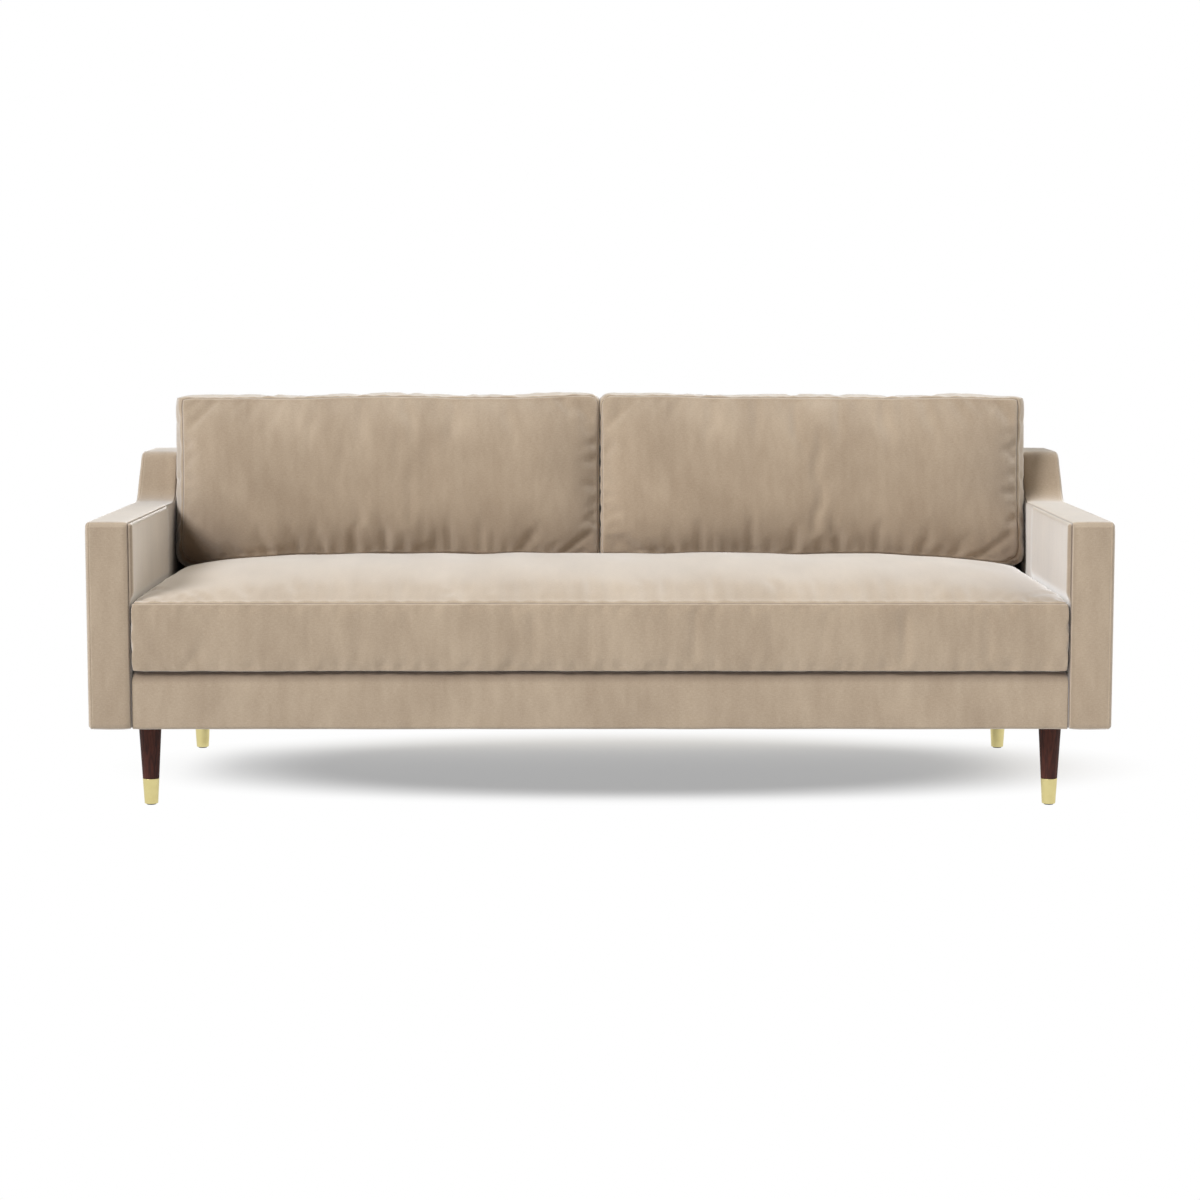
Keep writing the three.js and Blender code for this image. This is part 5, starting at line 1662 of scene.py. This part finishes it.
@dataclass
class Cushion:
    """A boxed cushion: two crowned panels joined by a band, swollen by a cloth simulation.

    In its own coordinates a runs across, b from the front or foot to the rear or top, and c through it.

    Attributes:
        name: the cushion's name, which is also its body's.
        width: distance between the seams across.
        height: distance between the seams along b.
        boxing: height of the band.
        crown: rise of the panel that shows.
        belly: rise of the panel behind or under.
        bulge: how far the band stands out on the left and on the right.
        end_bulge: how far it stands out at both ends of b.
        pull: how far a seam draws in between the corners, on the left, on the right and at the ends.
        rises: two powers each for the crown's profile across and along.
        place: rotation and translation of the cushion, 3 x 4.
        limits: lowest and highest a, b and c that it may reach.
        puckers: folds off the seams of the shown panel, and of the band.
        swell: how far the simulation may move a point.
        seed: seed of its unevenness.
        corner_insets: how far each corner is drawn in, lower left, lower right, upper left, upper right.
        corner_reaches: from how far off each is drawn in.
        settle: moves the placed points, given them and the cushion's own coordinates.
        wander: how far its ends wander along a.
        end_wave: how far the band waves at the ends.
        flutes: height of the band's fine folds at the ends.
        falls: how much lower the upper end lies at the left and at the right.
        dark_foot: painted shadow at the lower left and right corner, and how far it reaches.
        hollows: place along a, depth and width of hollows in the panels.
    """

    name: str
    width: float
    height: float
    boxing: float
    crown: float
    belly: float
    bulge: tuple[float, float]
    end_bulge: float
    pull: tuple[float, float, float]
    rises: tuple[tuple[float, float], tuple[float, float]]
    place: Array
    limits: tuple[Array, Array]
    puckers: tuple[Puckers, Puckers]
    swell: float
    seed: int
    corner_insets: tuple[float, ...]
    corner_reaches: tuple[float, ...]
    settle: Callable[[Array, Array], Array]
    wander: float = 1.0 * MM
    end_wave: float = 0.0
    flutes: float = 0.0
    falls: tuple[float, float] = (0.0, 0.0)
    dark_foot: Corner = (0.0, 0.0, 100 * MM)
    hollows: tuple[Corner, ...] = ()

    def __post_init__(self) -> None:
        """Sets the lists of panels: which of a, b and c each is fixed at, and at which end."""
        self.sides = (("c", 1), ("c", -1), ("b", -1), ("b", 1), ("a", -1), ("a", 1))
        self.sizes = {"a": self.width, "b": self.height, "c": self.boxing}
        self.grids: list[Array] = []

    def form(self, a: Array, b: Array, c: Array, on_panel: bool) -> Array:
        """The sewn form before it swells.

        Half the width is width/2 - pull (1 - b^2) + bulge (1 - c^4)^0.65, likewise the height, and the height
        wanders a little along a. A panel rises by crown (1 - a^m)^n (1 - b^p)^q. Near a corner both are
        drawn in by the corner's inset.

        Args:
            a: -1 to 1 across.
            b: -1 to 1 along.
            c: -1 to 1 through.
            on_panel: whether the points are on a crowned panel.

        Returns:
            Points with a last axis of 3.
        """
        left, band = a < 0, np.maximum(1 - c**4, 0) ** 0.65
        from_a, from_b = (1 - np.abs(a)) * self.width / 2, (1 - np.abs(b)) * self.height / 2
        which = (a > 0).astype(int) + 2 * (b > 0)
        inset, reach = np.array(self.corner_insets)[which], np.array(self.corner_reaches)[which]
        corner = inset * np.clip(1 - from_a / reach, 0, 1) ** 2 * np.clip(1 - from_b / reach, 0, 1) ** 2
        stray = Ripple(self.wander, 0.09, 0.5, seed=self.seed + 7).at(a * self.width / 2, 0.4 * np.sign(b))
        drawn = np.where(left, *self.bulge) * band - np.where(left, *self.pull[:2]) * (1 - b**2) - corner
        half_height = self.height / 2 - self.pull[2] * (1 - a**2) + self.end_bulge * band - corner
        half_height += stray * smooth_step(from_a, 0, 60 * MM)
        half_height -= np.where(left, *self.falls) * np.abs(a) ** 1.5 * (b > 0)
        z = c * self.boxing / 2
        if on_panel:
            (m, n), (p, q) = self.rises
            rise = np.maximum(1 - np.abs(a) ** m, 0) ** n * np.maximum(1 - np.abs(b) ** p, 0) ** q
            z = z + np.where(c > 0, self.crown, -self.belly) * rise
        return np.stack([a * (self.width / 2 + drawn), b * half_height, z], -1)

    def knots_at(self, fine: bool) -> dict[str, Array]:
        """Knots along a, b and c.

        Args:
            fine: whether they are the finished piece's, closer together and closest at the seams.

        Returns:
            Knots by axis.
        """
        near = mm(0, 1.2, 2.6, 4.4, 7, 10.5, 15.5, 22) if fine else mm(0, 9)
        cell = 15 * MM
        if fine:
            cell = 8.5 * MM
        return {axis: knots(size, cell, near) for axis, size in self.sizes.items()}

    def panels(self, knots_at: Mapping[str, Array]) -> list[Panel]:
        """The six panels of the form, with what the seams, folds and painted shadow need.

        Args:
            knots_at: knots along each axis.

        Returns:
            Two crowned panels, then the four sides of the band.
        """
        made = []
        for fixed, way in self.sides:
            free = [axis for axis in "abc" if axis != fixed]
            u, v = np.meshgrid(knots_at[free[0]], knots_at[free[1]], indexing="ij")
            share = {axis: 2 * value / self.sizes[axis] - 1 for axis, value in zip(free, (u, v))}
            share[fixed] = np.full(u.shape, float(way))
            points = self.form(share["a"], share["b"], share["c"], fixed == "c")
            a, b, c = ((share[axis] + 1) / 2 * self.sizes[axis] for axis in "abc")
            from_a, from_b = np.minimum(a, self.width - a), np.minimum(b, self.height - b)
            away = np.minimum(from_a, from_b) if fixed == "c" else np.minimum(c, self.boxing - c)
            # Painted shadow at the lower corners of the cushion, fading over reach from the side and from the
            # foot.
            *shares, reach = self.dark_foot
            foot = np.where(share["a"] < 0, *shares) * np.clip(1 - from_a / reach, 0, 1)
            foot *= np.clip(1 - b / reach, 0, 1)
            marks = {
                "a": a, "b": b, "c": c, "away": away, SEAM_MARK: bell(away, 2.6 * MM),
                "panel": np.full(u.shape, float(fixed == "c")), PAINTED_SHADE_MARK: foot,
            }
            made.append(Panel(points, np.stack([u, v], -1), marks, flip=(fixed in "ac") != (way > 0)))
        return made

    def swollen(self) -> list[Array]:
        """Runs the cloth simulation on a coarse copy whose seams are held, and gives its movement.

        A movement m is kept under swell by m -> swell tanh(m / swell).

        Returns:
            Movement of each coarse panel's points.
        """
        shell = Shell.weld(self.panels(self.knots_at(fine=False)))
        piece = shell.build(f"{self.name}_swelling", Finish.VELVET.material)
        held = piece.vertex_groups.new(name="held")
        held.add(np.flatnonzero(shell.marks["away"] < 0.1 * MM).tolist(), 1.0, "REPLACE")
        cloth = piece.modifiers.new("swelling", "CLOTH")
        for label, value in {
            "vertex_group_mass": "held", "use_pressure": True, "uniform_pressure_force": 4.0, "quality": 6,
            "mass": 0.4, "tension_stiffness": 18.0, "compression_stiffness": 18.0, "shear_stiffness": 6.0,
            "bending_stiffness": 0.6, "shrink_min": -0.015,
        }.items():
            setattr(cloth.settings, label, value)
        cloth.settings.effector_weights.gravity = 0.0
        scene = bpy.context.scene
        for clock in (scene, cloth.point_cache):
            clock.frame_start, clock.frame_end = 1, 20
        for number in range(1, 21):
            scene.frame_set(number)
        result = piece.evaluated_get(bpy.context.evaluated_depsgraph_get())
        moved = np.empty(3 * len(shell.points), np.float32)
        result.data.vertices.foreach_get("co", moved)
        scene.frame_set(1)
        move = moved.reshape(-1, 3).astype(float) - shell.points
        size = np.linalg.norm(move, axis=1, keepdims=True)
        LOG.info("%s swells by %.1f mm at most", self.name, size.max() / MM)
        move *= np.minimum(1, self.swell * np.tanh(size / self.swell) / np.maximum(size, SHARP * MM))
        mesh = piece.data
        bpy.data.objects.remove(piece)
        bpy.data.meshes.remove(mesh)
        return [move[grid] for grid in shell.grids]

    def shape(self) -> Shell:
        """The finished shell in its own coordinates: form, swelling, folds and sewn seams.

        Returns:
            The shell.
        """
        coarse, fine = self.knots_at(fine=False), self.knots_at(fine=True)
        weights = {axis: spline_weights(coarse[axis], fine[axis]) for axis in "abc"}
        panels = self.panels(fine)
        for (fixed, _), panel, move in zip(self.sides, panels, self.swollen()):
            first, second = (weights[axis] for axis in "abc" if axis != fixed)
            panel.points += np.einsum("mi,ijk,nj->mnk", first, move, second)
        shell = Shell.weld(panels)
        shell.points += shell.normals() * self.relief(shell.marks)[:, None]
        for value, low, high in zip(shell.points.T, *self.limits):
            value[:] = -soft_limit(-soft_limit(value, high, 3 * MM), -low, 3 * MM)
        return shell

    def relief(self, marks: Mapping[str, Array]) -> Array:
        """Height of folds, hollows and seams over the swollen form.

        Args:
            marks: the shell's marks.

        Returns:
            One height for each point.
        """
        a, b, away = marks["a"], marks["b"], marks["away"]
        panel, strip = marks["panel"] > 0.5, marks["panel"] <= 0.5
        face, band = self.puckers
        total, around = np.zeros(len(a)), 2 * (self.width + self.height)
        rear = 2 * self.width + self.height - a
        edges = (
            (a, b, 0.7), (self.width + b, self.width - a, 0.12),
            (rear, self.height - b, 0.7), (around - b, a, 0.12),
        )
        for along, off, share in edges:
            total[panel] += share * face.at(along[panel], off[panel], around)
        at_end = np.minimum(a, self.width - a) > np.minimum(b, self.height - b)
        on_side = np.where(a > self.width / 2, self.width + b, around - b)
        walked = np.where(at_end, np.where(b < self.height / 2, a, rear), on_side)[strip]
        a, b, c, end = a[strip], b[strip], marks["c"][strip], at_end[strip].astype(float)
        for off, shift in ((c, 0.0), (self.boxing - c, 0.37)):
            total[strip] += band.at((walked + shift) % around, off, around)
        waves = Ripple(1.3 * MM, 0.09, 0.45, 1.6, seed=self.seed).at(marks["a"], marks["b"] + 3 * marks["c"])
        total += waves * smooth_step(away, 0, 40 * MM)
        middle = np.sin(np.pi * c / self.boxing)
        broad = Ripple(1.0, 0.1, 0.5, seed=self.seed + 3).at(a, 0.3 * b)
        total[strip] += self.end_wave * middle * end * broad
        fine = Ripple(1.0, 0.018, 0.06, 40, seed=self.seed + 4).at(a, c)
        slow = np.clip(Ripple(1.0, 0.15, 0.6, seed=self.seed + 5).at(a, c) + 0.6, 0, 2)
        total[strip] += self.flutes * fine * slow * end * middle**0.5
        for where, depth, wide in self.hollows:
            inner = smooth_step(away[panel], 0, 60 * MM)
            total[panel] -= depth * bell(marks["a"][panel] - where, wide) * inner
        return total + groove(away, 2.0 * MM, 1.7 * MM)

    def build(self) -> Piece:
        """Builds the cushion in its place.

        Returns:
            The piece.
        """
        shell = self.shape()
        local = shell.points
        shell.points = self.settle(local @ self.place[:, :3].T + self.place[:, 3], local)
        self.grids = [shell.points[grid] for grid in shell.grids]
        piece = shell.build(f"{self.name}_velvet", Finish.VELVET.material)
        return hand_in(piece, "velvet", f"{self.name}_cover", f"{self.name}_core", fill=0.8, body=self.name)

    def top_at(self, x: Array, y: Array) -> Array:
        """Height of the upper panel at places on the sofa, bilinear between its grid's points.

        Args:
            x: places across.
            y: depths.

        Returns:
            Heights.
        """
        top = self.grids[0]
        m, n = top.shape[:2]
        i = np.interp(x, top[:, n // 2, 0], np.arange(m))
        j = np.interp(y, top[m // 2, :, 1], np.arange(n))
        i0, j0 = np.minimum(i.astype(int), m - 2), np.minimum(j.astype(int), n - 2)
        s, t, z = i - i0, j - j0, top[..., 2]
        near, far = ((1 - t) * z[i0 + k, j0] + t * z[i0 + k, j0 + 1] for k in (0, 1))
        return (1 - s) * near + s * far


def seat_cushion() -> Cushion:
    """The long seat cushion, flat underneath.

    Returns:
        The cushion, not yet built.
    """
    bulge, front_bulge, ahead, boxing = 5 * MM, 4.5 * MM, 3 * MM, SEAT_BOXING
    width = 2 * (INNER_X - CLEAR - bulge)
    rear = SEAT_DEPTH - CLEAR - 0.3 * MM
    height = rear + ahead - 2 * front_bulge
    place = np.hstack([np.eye(3), [[0], [FRONT + (rear - ahead) / 2], [DECK + 0.3 * MM + boxing / 2]]])
    half = np.array([INNER_X - 1.0 * MM, height / 2 + front_bulge + 0.5 * MM, 0])
    low, high = -half + np.array([0, 0, -boxing / 2]), half + np.array([0, 0, boxing / 2 + 75 * MM])
    hang, fold_back, fold_up = mm(2.6, 16, 40)

    def settle(points: Array, local: Array) -> Array:
        """Lets the lower front seam hang over the rail's round edge by hang (1 - s)^2 (1 - t)^2.

        s goes back from the seam and t goes up from it.

        Args:
            points: the cushion's points in their place.
            local: the same points in its own coordinates.

        Returns:
            The moved points.
        """
        s = np.clip((local[:, 1] + height / 2 - 1 * MM) / fold_back, 0, 1)
        t = np.clip((local[:, 2] + boxing / 2) / fold_up, 0, 1)
        return points - np.outer(hang * (1 - s) ** 2 * (1 - t) ** 2, [0, 0, 1])

    return Cushion(
        "seat_cushion", width, height, boxing, crown=65 * MM, belly=0.0, bulge=(bulge, bulge),
        end_bulge=front_bulge, pull=mm(3, 3, 2), rises=((4.0, 0.42), (2.2, 0.75)), place=place,
        limits=(low, high),
        puckers=(
            Puckers(7, mm(40, 160), mm(9, 26), mm(0.4, 1.3), 0.2, 61),
            Puckers(16, mm(30, 120), mm(5, 13), mm(0.2, 0.9), 0.08, 62),
        ),
        swell=5 * MM, seed=63, corner_insets=mm(2, 2, 5, 5), corner_reaches=mm(20, 20, 34, 34), settle=settle,
        flutes=0.3 * MM, hollows=((0.71, 3 * MM, 0.1), (1.14, 2.5 * MM, 0.09), (1.46, 2 * MM, 0.1)),
    )


def back_cushion(side: Side, seat: Cushion) -> Cushion:
    """A loose back cushion that leans on the inside back and settles on the seat cushion.

    Args:
        side: left or right.
        seat: the built seat cushion.

    Returns:
        The cushion, not yet built.
    """
    outer, inner, boxing, belly, pressed, press_in = mm(19, 2.6, 165, 8, 8, 3.2)
    width = INNER_X - 1.5 * CLEAR - outer - inner
    height = 425 * MM / math.cos(BACK_LEAN)
    middle_z = DECK + 0.3 * MM + SEAT_BOXING - 10.8 * MM + 212.5 * MM
    middle_y = inside_back(middle_z) - (belly + CLEAR + boxing / 2) / math.cos(BACK_LEAN)
    middle_x = side.value * (CLEAR / 2 + inner + width / 2)
    place = np.stack([ACROSS, UP_BACK, OFF_BACK, [middle_x, middle_y, middle_z]], -1)
    left, right = side.order(outer, inner + press_in)
    low = -np.array([width / 2 + left + 0.2 * MM, height / 2 + 40 * MM, boxing / 2 + belly + 0.6 * MM])
    high = np.array([width / 2 + right + 0.2 * MM, height / 2 + 14 * MM, boxing / 2 + 60 * MM])

    def settle(points: Array, local: Array) -> Array:
        """Presses the cushion against its neighbour and lifts its foot onto the seat.

        They meet in x = -p (1 - c^2), so the right one presses into the left one. The foot rises by
        dz = lift (1 - v)^3 with v from the lower seam to the upper one.

        Args:
            points: the cushion's points in their place.
            local: the same points in its own coordinates.

        Returns:
            The moved points.
        """
        through = np.clip(2 * local[:, 2] / boxing, -1, 1)
        meet = side.value * press_in * (1 - through**2) - CLEAR / 4
        points = points.copy()
        points[:, 0] = -side.value * soft_limit(-side.value * points[:, 0], meet, 1.5 * MM)
        v = np.clip((local[:, 1] + height / 2) / height, 0, 1)
        foot = points - (v * height)[:, None] * UP_BACK
        lift = np.maximum(seat.top_at(foot[:, 0], foot[:, 1]) + 1.5 * MM - foot[:, 2], 0)
        floor = seat.top_at(points[:, 0], points[:, 1]) + 1.2 * MM
        points[:, 2] = np.maximum(points[:, 2] + lift * (1 - v) ** 3, floor)
        return points

    # The left cushion's painted shadow is deepest at its outer lower corner beside the arm.
    seed, dark_foot = (70, (0.9, 0.4, 190 * MM)) if side is Side.LEFT else (80, (0.3, 0.6, 120 * MM))
    return Cushion(
        f"back_cushion_{side.word}", width, height, boxing, crown=42 * MM, belly=belly,
        bulge=side.order(outer, pressed), end_bulge=7 * MM, pull=(*side.order(*mm(5, 1.5)), 5 * MM),
        rises=((5.0, 0.75), (2.5, 0.9)), place=place, limits=(low, high),
        puckers=(
            Puckers(13, mm(35, 170), mm(8, 24), mm(0.6, 2.6), 0.35, seed + 1),
            Puckers(9, mm(25, 70), mm(6, 14), mm(0.4, 1.4), 0.2, seed + 2),
        ),
        swell=8 * MM, seed=seed, corner_insets=(*side.order(*mm(22, 4)), *side.order(*mm(4, 9))),
        corner_reaches=(*side.order(*mm(75, 34)), *side.order(*mm(30, 28))), settle=settle,
        wander=1.6 * MM, end_wave=1.2 * MM, falls=side.order(7 * MM, 0.0), dark_foot=dark_foot,
    )


@dataclass
class Zip:
    """A closed coil zip along a line on a cushion: two tapes, the coil and a slider.

    Attributes:
        cushion: the built cushion that it closes.
        line: the line, from one end to the other.
        out: outward direction.
        across: direction across the tapes.
        tape: width of both tapes together.
        coil: half of the coil's width.
        pitch: distance between teeth.
    """

    cushion: Cushion
    line: Array
    out: Array
    across: Array
    tape: float = 11 * MM
    coil: float = 1.5 * MM
    pitch: float = 3.2 * MM

    def build(self) -> Piece:
        """Builds the zip.

        Returns:
            The piece.
        """
        lengths = walked_along(self.line)
        even = np.linspace(0, lengths[-1], int(lengths[-1] / (12 * MM)))
        path = rows_at(even, lengths, self.line) + self.out * 0.5 * MM
        panels: list[Panel] = []
        rise = np.array(mm(0.0, 0.1, -0.5))[:, None] * self.out
        for way in (-1, 1):
            side = np.array([0.12, 0.5, 1.0])[:, None] * way * self.tape / 2 * self.across
            panels += self.plate(path[:, None] + side + rise, 0.35 * MM)
        teeth = np.arange(4 * MM, lengths[-1] - 4 * MM, self.pitch)
        middle = rows_at(teeth, lengths, self.line) + self.out * 1.0 * MM
        ring = np.linspace(0, math.tau, 5)
        round_it = np.outer(np.cos(ring), ACROSS) + np.outer(np.sin(ring), self.out)
        reach = np.array([-1.0, -0.8, 0.8, 1.0])[:, None, None] * self.coil * self.across
        tooth = reach + np.array(mm(0.0, 0.55, 0.55, 0.0))[:, None, None] * round_it
        for number, spot in enumerate(middle):
            bar = spot + (-1) ** number * self.across * 0.5 * MM + tooth
            panels.append(Panel(bar, grid_of(bar)))
        panels += self.slider(middle[3] + self.out * 0.6 * MM)
        piece = Shell.weld(panels).build(f"{self.cushion.name}_closure", Finish.ZIP_TAPE.material)
        return hand_in(piece, "zip_tape", f"{self.cushion.name}_zip", body=self.cushion.name)

    def plate(self, face: Array, half: float) -> list[Panel]:
        """A plate whose two sides lie half a thickness above and below a grid."""
        return slab(face + self.out * half, face - self.out * half)

    def slider(self, spot: Array) -> list[Panel]:
        """Slider body and its flat pull.

        Args:
            spot: where the slider stands.

        Returns:
            Panels of both.
        """
        u, side, parts = np.linspace(0, 1, 9), np.linspace(-1, 1, 5), []
        for start, length, half, rise, thick in (mm(-4, 8, 2.6, 0.6, 0.9), mm(1, 22, 1.9, 2.2, 0.45)):
            taper = half * np.sqrt(np.clip(1 - (2 * u - 1) ** 6, 0.15, 1))
            along = (start + u[:, None, None] * length) * ACROSS
            face = spot + along + np.outer(taper, side)[..., None] * self.across + rise * self.out
            parts += self.plate(face, thick / 2)
        return parts


@dataclass
class Frame:
    """The CAD nodes that stay: timber, springs, clips and bolts, in their finishes.

    Attributes:
        finishes: finish by the start of the node's name.
    """

    finishes: tuple[tuple[str, Finish], ...] = (
        ("seat_spring_mat", Finish.STEEL), ("hanger_bolt", Finish.STEEL), ("spring_clip", Finish.NYLON),
    )

    def dress(self) -> None:
        """Gives each kept node its finish; what isn't metal or plastic is pine."""
        for name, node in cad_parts.items():
            if node.hide_render:
                continue
            finish = next((f for start, f in self.finishes if name.startswith(start)), Finish.PINE)
            if not node.material_slots:
                node.data.materials.append(finish.material)
            for slot in node.material_slots:
                slot.material = finish.material
            LOG.info("%s: %s", name, finish.value.name)


@dataclass
class Studio:
    """Pale floor, soft lamps and the photograph's camera.

    Attributes:
        distance: camera in front of the arms.
        eye: camera's height.
        pitch: how far it looks down, in degrees.
        lens: focal length on a 36 mm sensor.
        lamps: for each soft distant lamp its name, how far round from the front it stands, to the right, how
            high, how wide it looks, all in degrees, and how bright a white surface that faces it becomes.
        warm: colour of the lamps on the right and at the rear.
    """

    distance: float = 5.9086
    eye: float = 1.0804
    pitch: float = 6.016
    lens: float = 82.99
    lamps: tuple[tuple[str, float, float, float, float], ...] = (
        ("key", -53, 41, 24, 1.1), ("right", 95, 35, 50, 0.32), ("rear", 132, 48, 70, 0.42),
        ("behind", 180, 15, 60, 0.22),
    )
    warm: Corner = (1.0, 0.94, 0.83)

    def build(self) -> None:
        """Builds all of it."""
        self.camera()
        self.floor()
        for name, around, above, spread, level in self.lamps:
            data = bpy.data.lights.new(name, "SUN")
            data.energy, data.angle = level * math.pi, math.radians(spread)
            data.color = self.warm if name in ("right", "rear") else (1.0, 1.0, 1.0)
            lamp = bpy.data.objects.new(name, data)
            lamp.rotation_euler = (math.radians(90 - above), 0.0, math.radians(around))
            bpy.context.scene.collection.objects.link(lamp)
        self.sky()
        bpy.context.scene.view_settings.view_transform = "Standard"

    def camera(self) -> None:
        """Places the camera."""
        data = bpy.data.cameras.new("camera")
        data.lens, data.sensor_width = self.lens, 36.0
        data.clip_start, data.clip_end = 0.1, 100.0
        camera = bpy.data.objects.new("camera", data)
        camera.location = (0.0, FRONT - self.distance, self.eye)
        camera.rotation_euler = (math.radians(90 - self.pitch), 0.0, 0.0)
        bpy.context.scene.collection.objects.link(camera)
        bpy.context.scene.camera = camera

    def floor(self) -> None:
        """A round pale floor that takes the sofa's shadow and runs out into the white background.

        Outside an oval round the sofa it glows white for the camera and in reflections, inside it less.
        From below it is seen through, so that the underside shows.
        """
        r = np.append(0.0, np.linspace(0.5, 9.0, 18))[:, None]
        q = np.linspace(0, math.tau, 49)
        points = np.stack(np.broadcast_arrays(r * np.cos(q), r * np.sin(q), 0 * q), -1).copy()
        points[:, -1] = points[:, 0]
        material = bpy.data.materials.new("pale_floor")
        material.use_nodes = True
        material.node_tree.nodes.clear()
        graph = Graph(material.node_tree)
        place = graph.add("ShaderNodeTexCoord").outputs["Object"]
        shadow = graph.add("ShaderNodeBsdfDiffuse", {"Color": (0.82, 0.82, 0.82, 1)})
        glow = graph.add("ShaderNodeEmission", {"Color": (1, 1, 1, 1), "Strength": 1.0})
        oval = {"Vector": place, "Location": (-0.06, -0.22, 0), "Scale": (0.78, 1.75, 1)}
        oval = graph.add("ShaderNodeMapping", oval).outputs[0]
        away = graph.add("ShaderNodeVectorMath", {0: oval}, operation="LENGTH").outputs["Value"]
        share = graph.math("MULTIPLY_ADD", graph.step(away, 0.55, 1.0), 0.6, 0.4)
        share = graph.math("MULTIPLY", share, graph.seen("Is Camera Ray", "Is Glossy Ray"))
        mixed = graph.add("ShaderNodeMixShader", {0: share, 1: shadow.outputs[0], 2: glow.outputs[0]})
        below = graph.add("ShaderNodeNewGeometry").outputs["Backfacing"]
        below = graph.math("MULTIPLY", below, graph.seen("Is Camera Ray"))
        through = graph.add("ShaderNodeBsdfTransparent").outputs[0]
        shown = graph.add("ShaderNodeMixShader", {0: below, 1: mixed.outputs[0], 2: through})
        graph.add("ShaderNodeOutputMaterial", {"Surface": shown.outputs[0]})
        floor = Shell.weld([Panel(points, points[..., :2])]).build("floor", material)
        if floor.data.polygons[0].normal.z < 0:
            floor.data.flip_normals()

    def sky(self) -> None:
        """White to the camera and in reflections, softer as light."""
        world = bpy.data.worlds.new("studio")
        bpy.context.scene.world = world
        world.use_nodes = True
        graph = Graph(world.node_tree)
        seen = graph.seen("Is Camera Ray", "Is Glossy Ray", "Is Transmission Ray")
        strength = graph.math("MULTIPLY_ADD", seen, 0.94, 0.06)
        graph.feed(world.node_tree.nodes["Background"], {"Color": (1, 1, 1, 1), "Strength": strength})


def zips(cushions: Sequence[Cushion]) -> list[Piece]:
    """The zips: along the rear of the seat's band, and low on the rear panel of each back cushion.

    Args:
        cushions: the built cushions, the seat first.

    Returns:
        The three pieces.
    """
    pieces = []
    for cushion in cushions:
        low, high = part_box(f"{cushion.name}_zip")
        grid = cushion.grids[1]
        height = grid[grid.shape[0] // 2, :, 2]
        line = grid[:, int(np.argmin(np.abs(height - (low.z + high.z) / 2)))]
        out, across = -OFF_BACK, UP_BACK
        if cushion is cushions[0]:
            grid = cushion.grids[3]
            line = grid[:, grid.shape[1] // 2]
            out, across = np.array([0.0, 1.0, 0.0]), np.array([0.0, 0.0, 1.0])
        inside = (line[:, 0] > low.x) & (line[:, 0] < high.x)
        pieces.append(Zip(cushion, line[inside], out, across).build())
    return pieces


def main() -> None:
    """Builds the sofa and its studio."""
    logging.basicConfig(level=logging.INFO, format="%(message)s", force=True)
    for side in Side:
        Arm(side).build()
    for assembly in (FrontRail(), Back(), Deck(), BackWebbing(), DustCover()):
        assembly.build()
    for row in ("front", "rear"):
        for side in Side:
            Leg(row, side).build()
    seat = seat_cushion()
    seat.build()
    backs = [back_cushion(side, seat) for side in Side]
    for cushion in backs:
        cushion.build()
    zips([seat, *backs])
    Frame().dress()
    Studio().build()


if __name__ == "__main__":
    main()
